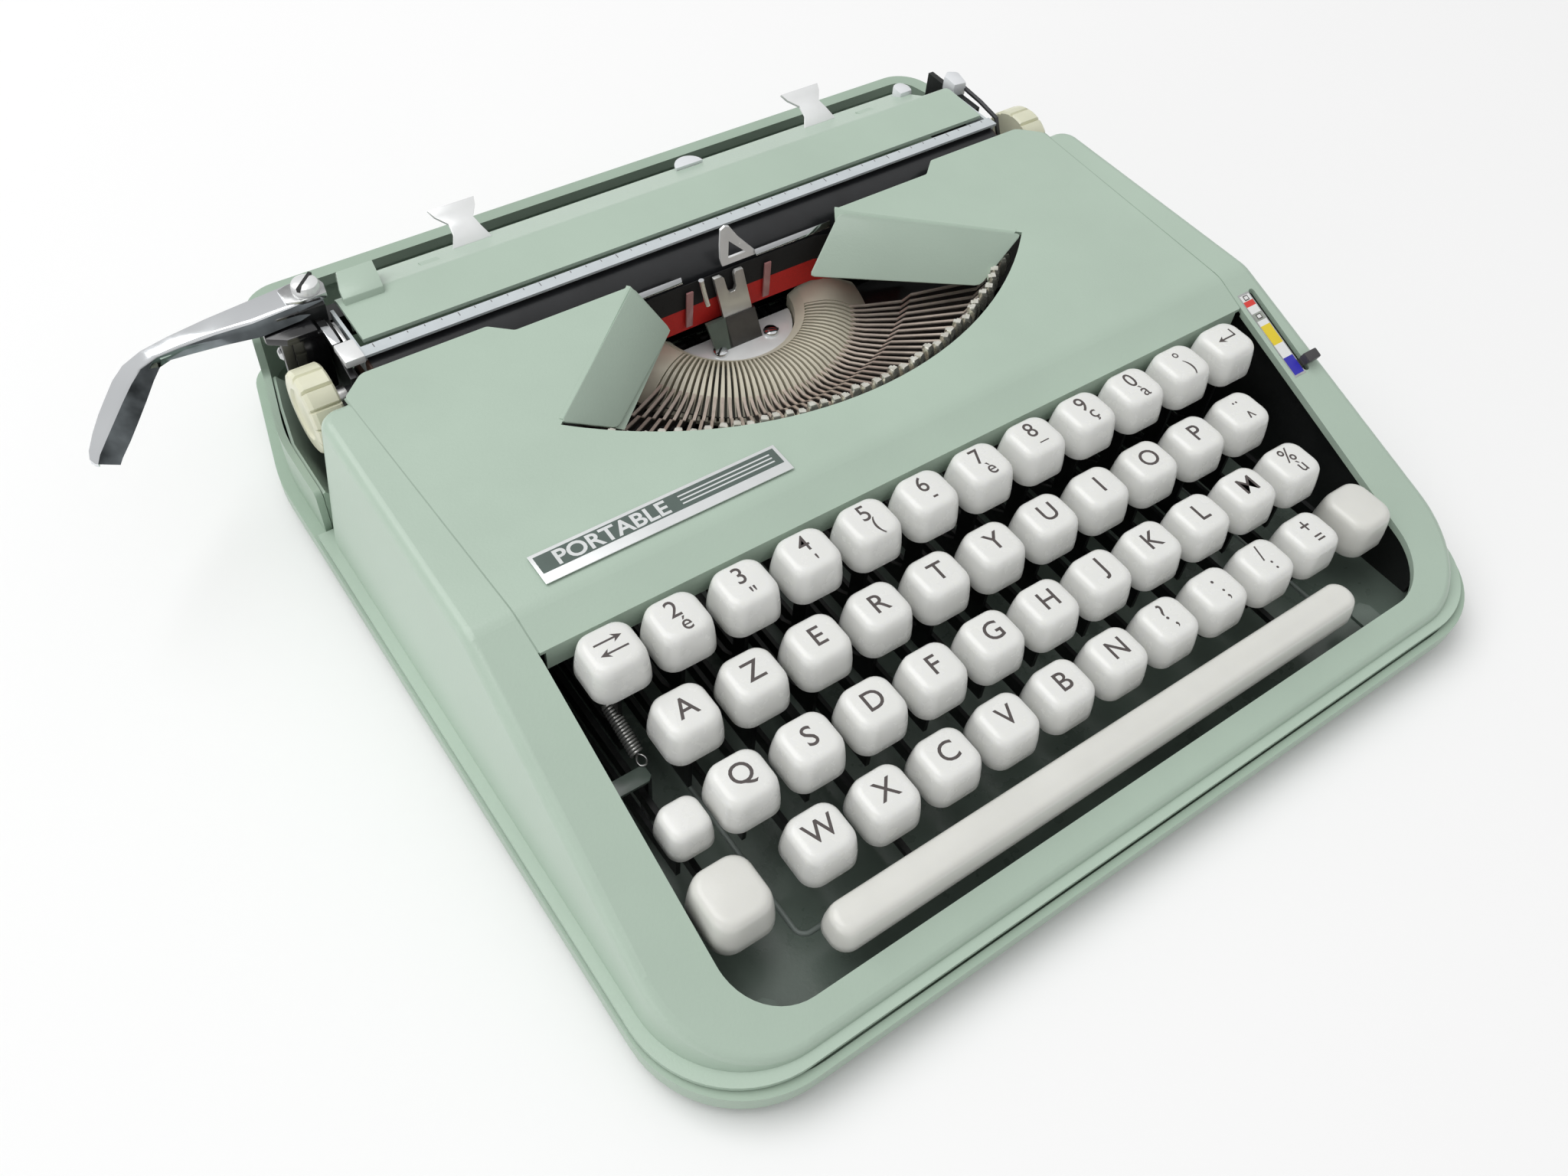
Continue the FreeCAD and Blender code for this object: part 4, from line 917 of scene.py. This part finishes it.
def build_return_lever():
    """Chrome strip with a rolled top edge, bent forward at its elbow, and the screw it turns on."""
    stations = [((-114.2, 176.4, 61.4), (-114.2, 167.6, 61.6), (-114.2, 166.2, 58.4)),
                ((-122.0, 175.4, 61.5), (-122.0, 166.4, 61.4), (-122.0, 164.2, 57.8)),
                ((-134.3, 174.0, 61.6), (-134.3, 165.8, 61.1), (-133.4, 163.6, 57.5)),
                ((-144.5, 172.7, 61.7), (-144.3, 166.6, 60.9), (-143.0, 165.4, 57.5)),
                ((-155.0, 170.8, 61.8), (-153.7, 166.2, 60.9), (-151.4, 166.4, 57.5)),
                ((-162.6, 168.9, 61.8), (-160.0, 165.5, 60.9), (-156.6, 166.9, 57.5)),
                ((-168.2, 165.9, 61.7), (-165.0, 163.4, 60.8), (-159.9, 165.6, 57.5)),
                ((-172.1, 161.7, 61.7), (-169.0, 159.0, 60.8), (-162.9, 161.5, 57.5)),
                ((-175.6, 156.6, 61.6), (-172.9, 154.0, 60.7), (-166.8, 155.4, 57.5)),
                ((-178.8, 151.8, 61.5), (-176.5, 149.0, 60.6), (-170.8, 149.4, 57.5)),
                ((-182.0, 146.4, 61.3), (-180.0, 144.2, 60.5), (-174.9, 143.4, 57.5)),
                ((-184.6, 141.2, 61.1), (-183.2, 139.8, 60.3), (-178.4, 138.6, 57.6)),
                ((-185.3, 138.6, 60.8), (-184.6, 137.2, 60.0), (-179.6, 136.6, 57.6))]
    top_rings, face_rings = [], []
    for outer, corner, inner in stations:
        bend = corner_bend(outer, corner, inner)
        upper = [(outer[0], outer[1], outer[2] - 0.9), outer] + bend[:3]
        top_rings.append(upper + [(x, y, z - 1.1) for x, y, z in upper[::-1]])
        towards = Vector((outer[0] - corner[0], outer[1] - corner[1])).normalized() * 0.9
        face = bend[2:] + [inner]
        behind = [(x + towards.x, y + towards.y, max(z - 0.5, 57.3)) for x, y, z in face[::-1]]
        face_rings.append(face + behind)
    strip = skin("lever_strip", top_rings, "chrome", *RETURN_ARM, angle=50.0)
    # The broad face is dark mottled chrome as a painted reflection.
    skin("lever_face", face_rings, "dark_chrome_painted_reflection", *RETURN_ARM, angle=50.0)
    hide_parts("return_lever")
    outline = [(-124.0, 168.0), (-120.0, 166.6), (-112.8, 166.8), (-112.0, 171.0), (-113.0, 175.6),
               (-121.0, 175.0), (-124.0, 174.0)]
    plate("lever_root", outline, 60.2, 62.0, "worn_chrome", *RETURN_ARM, bevel=0.4)
    screw("lever_screw", -117.0, 171.0, 62.0, 3.9, 2.7, "white_chrome", *RETURN_ARM, 0.75)
    bracket = [(-131.0, 166.0), (-128.0, 165.0), (-121.6, 165.0), (-121.6, 175.6), (-131.0, 175.0)]
    plate("lever_bracket", bracket, 57.4, 60.0, "black_gloss", *RETURN_ARM, bevel=0.5)


def build_lever_carrier():
    """Dark bracket on the carriage's left end, under the lever's root."""
    outline = [(-133.0, 163.0), (-128.0, 159.6), (-119.4, 159.6), (-119.4, 176.4), (-131.0, 176.4)]
    plate("lever_carrier", outline, 54.6, 57.0, "black_gloss", *CARRIAGE, bevel=0.6)
    block("lever_carrier_post", (-127.0, -117.0), (160.6, 174.0), (34.0, 54.8), "black_gloss", *CARRIAGE,
          bevel=1.4)
    block("lever_carrier_rib", (-129.6, -126.8), (161.6, 163.4), (38.0, 54.8), "dark_steel", *CARRIAGE)
    revolve("lever_carrier_stud", [(0.0, 0.0), (1.9, 0.0), (1.9, -2.0), (1.2, -2.6), (0.0, -2.6)], 20,
            (-127.0, 168.0, 46.0), "x", "worn_chrome", *CARRIAGE)


def build_nameplate():
    """Generic plate on the cover: a dark field with plain stripes in a bright border."""
    top = local_box("ribbon_cover")[1].z
    x0, x1, y0, y1 = -110.0, -38.0, 50.2, 59.8
    x, y = (x0 + x1) / 2, (y0 + y1) / 2 + 1.0
    block("nameplate", (x0, x1), (y0, y1), (top - 0.02, top + 0.28), "plate_silver", *COVER, bevel=0.12)
    block("nameplate_field", (x0 + 1.0, x1 - 1.0), (y0 + 3.0, y1 - 1.0), (top + 0.26, top + 0.32),
          "plate_green", *COVER, bevel=0)
    lettering("nameplate_word", "PORTABLE", 6.4, x - 14.5, y, top + 0.33, "plate_silver", *COVER, narrow=1.05,
              bold=0.14)
    for k in range(3):
        middle = y + (k - 1) * 1.3
        block("nameplate_stripe_%d" % (k + 1), (x + 5.0, x1 - 3.0), (middle - 0.22, middle + 0.22),
              (top + 0.31, top + 0.35), "plate_silver", *COVER, bevel=0)


# ---- shell, tray and keyboard opening

RAIL_SLOPE = radians(20.34)
TRAY_SIDE_TOP = 26.5


def rail_height(y):
    """Height of the sloping rail's surface at y."""
    return 55.75 - (47.7 - y) * tan(RAIL_SLOPE)


def build_flap_faces():
    """Painted faces of the two folded flaps, with their rounded outline, in the cover's sage darkened to 0.84
    as painted shade.
    """
    for label, side, corners in (
            ("left", -1, ((36.9, 133.0, 55.9), (81.0, 95.6, 56.0), (65.2, 94.0, 47.0), (30.9, 121.6, 45.7))),
            ("right", 1, ((37.2, 131.6, 55.5), (80.6, 94.6, 55.6), (63.5, 91.5, 44.6), (21.8, 124.2, 42.4)))):
        loop = [Vector(c) for c in corners]
        normal = (loop[1] - loop[0]).cross(loop[3] - loop[0]).normalized()
        if normal.z < 0:
            normal = -normal
        ring = []
        for k, corner in enumerate(loop):
            first = corner + (loop[k - 1] - corner).normalized() * 1.6
            last = corner + (loop[(k + 1) % 4] - corner).normalized() * 1.6
            ring += [first, corner * 0.5 + (first + last) * 0.25, last]
        raised = [[c + normal * lift for c in ring] for lift in (0.9, 0.15)]
        skin(label + "_flap_face", [[(side * c.x, c.y, c.z) for c in level] for level in raised], "shaded_flap",
             *COVER, bevel=0.3)


def build_seams():
    """Strips that close the narrow gap beside the cover, their sage darkened as painted shade in the seam,
    and sloped liners inside the tray's side walls.
    """
    top = TRAY_SIDE_TOP - 0.8
    for side, label in ((-1, "left"), (1, "right")):
        rings = []
        for y, z in ((37.0, rail_height(37.0)), (44.0, rail_height(44.0)), (47.7, 55.55), (52.0, 55.75),
                     (132.0, 56.35)):
            x = 119.67 + (y - 36.7) * 4.3 / 95.7
            rings.append([(side * (x + across), y, z - down) for across, down in (
                (-0.3, 0.12), (0.3, 0.12), (0.3, 0.75), (-0.3, 0.75))])
        skin(label + "_seam", rings, "seam", "machine", "sage_shell")
        rings = []
        for y, x in ((132.6, 136.3), (154.0, 136.3), (170.0, 133.3), (183.0, 130.2)):
            rings.append([(side * (x - inset), y, z) for inset, z in (
                (0, top), (0.8, top + 0.2), (3.2, top - 3.0), (8.6, 6.4), (8.6, 4.6), (0, 4.6))])
        skin(label + "_tray_liner", rings, "tray", *TRAY)


def build_pan():
    """Dark pan surface with its pressed bead, under the keys."""
    half, front, back = 137.0, -63.5, 128.0
    outline = [(u, v + (front + back) / 2) for u, v in rounded_ring(half, (back - front) / 2, 24.0, 8)]
    plate("pan_liner", outline, 4.02, 4.35, "pan", *TRAY, bevel=0)
    path = [(-94.4, 60.0, 4.35)]
    for k in range(9):
        a = radians(180 + 90 * k / 8)
        path.append((-91.4 + 3.0 * cos(a), -35.5 + 3.0 * sin(a), 4.35))
    mirrored = [(-x, y, z) for x, y, z in reversed(path)]
    wire("pan_bead", path + mirrored, 0.75, "pan_line", *TRAY, smooth=False)


def build_opening_fittings():
    """Spring, bracket and steel tabs seen round the keys."""
    coil("left_spring", (-107.0, 29.0, 30.0), (-106.8, 15.5, 25.2), 1.7, 16, 0.36, "bright_steel", *CHASSIS)
    hook = [(-106.8, 15.5, 25.2), (-105.3, 14.0, 25.2), (-106.1, 11.6, 25.4), (-108.1, 11.8, 25.4),
            (-108.1, 14.0, 25.3), (-106.8, 15.6, 25.2)]
    wire("left_spring_hook", hook, 0.34, "steel", *CHASSIS)
    outline = [(-117.4, 7.5), (-108.2, 7.5), (-107.0, 8.6), (-107.0, 11.2), (-108.2, 12.2), (-117.4, 12.2)]
    plate("spring_bracket", outline, 24.2, 25.2, "dark_sage", *CHASSIS)
    block("spring_bracket_web", (-108.4, -107.2), (7.9, 11.8), (4.3, 24.4), "dark_steel", *CHASSIS)
    for side, x in (("left", -114.5), ("right", 96.0)):
        outline = [(x + u, y) for u, y in ((-3.8, -54.4), (3.8, -54.4), (3.8, -49.8), (1.8, -47.6),
                                           (-1.8, -47.6), (-3.8, -49.8))]
        plate("front_tab_" + side, outline, 12.0, 13.2, "dark_sage", *CHASSIS)


def scale_band(name, colour, y0, y1, x0, x1, rise):
    """One painted field of the colour scale, lying on the sloping rail."""
    z0, z1 = rail_height(y0), rail_height(y1)
    rings = [[(x0, y0, z0 + lift), (x1, y0, z0 + lift), (x1, y1, z1 + lift), (x0, y1, z1 + lift)]
             for lift in (rise, -0.1)]
    finish_piece(name, mesh_from(name, *loft(rings)), colour, "machine", "selector_plastic", smooth=False)


def build_selector():
    """Colour scale on the rail beside the slot, and the sliding knob."""
    scale_band("selector_bezel", "worn_chrome", 11.6, 40.2, 121.5, 126.3, 0.10)
    bands = [("white_paint", 37.6, 39.6), ("red_paint", 35.8, 37.6), ("white_paint", 33.4, 35.8),
             ("grey_paint", 30.8, 33.4), ("white_paint", 29.1, 30.8), ("yellow_paint", 22.5, 29.1),
             ("white_paint", 18.0, 22.5), ("blue_paint", 12.2, 18.0)]
    for k, (colour, y0, y1) in enumerate(bands):
        scale_band("selector_band_%d" % (k + 1), colour, y0, y1, 121.9, 125.9, 0.16)
    for k, y in enumerate((38.6, 32.1)):
        scale_band("selector_square_%d" % (k + 1), "ink", y - 0.8, y + 0.8, 122.9, 124.9, 0.20)
        scale_band("selector_square_field_%d" % (k + 1), "white_paint", y - 0.5, y + 0.5, 123.2, 124.6, 0.24)
    y = 14.8
    z = rail_height(y)
    here = Matrix.Translation(pt(0, y, z))
    turn = here @ Matrix.Rotation(RAIL_SLOPE, 4, "X") @ here.inverted()
    knob = block("selector_knob", (126.9, 132.3), (y - 1.6, y + 1.6), (z + 0.65, z + 3.1), "knob_grey",
                 *SELECTOR, bevel=0.5, turn=turn)
    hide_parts("color_selector")
    block("selector_knob_tip", (131.3, 132.35), (y - 1.1, y + 1.1), (z + 1.0, z + 2.9), "white_paint",
          *SELECTOR, bevel=0.3, turn=turn)
    block("selector_stem", (126.9, 128.1), (y - 1.3, y + 1.3), (z - 8.0, z + 1.0), "knob_grey", *SELECTOR,
          bevel=0.2, turn=turn)


# ---- camera, floor and light

def build_camera():
    """Camera above the machine's front left, looking down at it."""
    camera = bpy.data.cameras.new("camera")
    camera.sensor_width = 36.0
    camera.lens = 30.27
    thing = linked("camera", camera)
    axis_angle = Vector((2.3976, -0.729, 0.3461))
    right, down, ahead = Matrix.Rotation(axis_angle.length, 3, axis_angle.normalized())
    columns = Matrix((right, -down, -ahead)).transposed()
    thing.matrix_world = Matrix.Translation(pt(-189.4, -129.5, 303.7)) @ columns.to_4x4()
    bpy.context.scene.camera = thing


def area_light(name, place, target, size, power):
    light = bpy.data.lights.new(name, "AREA")
    light.shape = "SQUARE"
    light.size = size
    light.energy = power
    thing = linked(name, light)
    thing.location = place
    thing.rotation_euler = (Vector(target) - Vector(place)).to_track_quat("-Z", "Y").to_euler()


def build_stage():
    mesh = bpy.data.meshes.new("floor")
    half = 3.0
    mesh.from_pydata([(-half, -half, 0), (half, -half, 0), (half, half, 0), (-half, half, 0)], [],
                     [(0, 1, 2, 3)])
    floor = linked("floor", mesh)
    floor.location.z = -0.0002
    mesh.materials.append(finish_material("floor_paper", (0.93, 0.93, 0.93), 0.9, vary=0.004, grain=3.0))
    area_light("key_light", (-1.1, 1.2, 2.8), (0, 0, 0), 2.8, 62.0)
    area_light("fill_light", (-1.4, -0.3, 0.30), (0, 0, 0.02), 0.8, 2.2)
    world = bpy.data.worlds.new("soft_world")
    world.use_nodes = True
    tree = world.node_tree
    height = add_node(tree, "SeparateXYZ", "Z", Vector=add_node(tree, "TexCoord", "Generated"))
    sky = ramp(tree, height, [(place, (grey, grey, grey)) for place, grey in (
        (0.0, 0.55), (0.25, 0.60), (0.7, 0.95), (1.0, 1.1))])
    tree.links.new(sky, tree.nodes["Background"].inputs["Color"])
    tree.nodes["Background"].inputs["Strength"].default_value = 0.66
    bpy.context.scene.world = world
    bpy.context.scene.view_settings.view_transform = "Standard"


make_materials()
dress_nodes()
for key_node in key_nodes():
    build_key(key_node)
build_shift_keys()
build_shift_lock()
build_space_bar()
build_segment()
for bar_index in range(TYPEBARS):
    build_typebar(bar_index)
build_basket_plate()
build_type_guide()
build_ribbon()
build_card_holder()
build_knobs()
build_platen_ends()
ruler_ticks()
build_carriage_trim()
build_bail_fittings()
build_return_lever()
build_lever_carrier()
build_nameplate()
build_flap_faces()
build_seams()
build_pan()
build_opening_fittings()
build_selector()
build_camera()
build_stage()
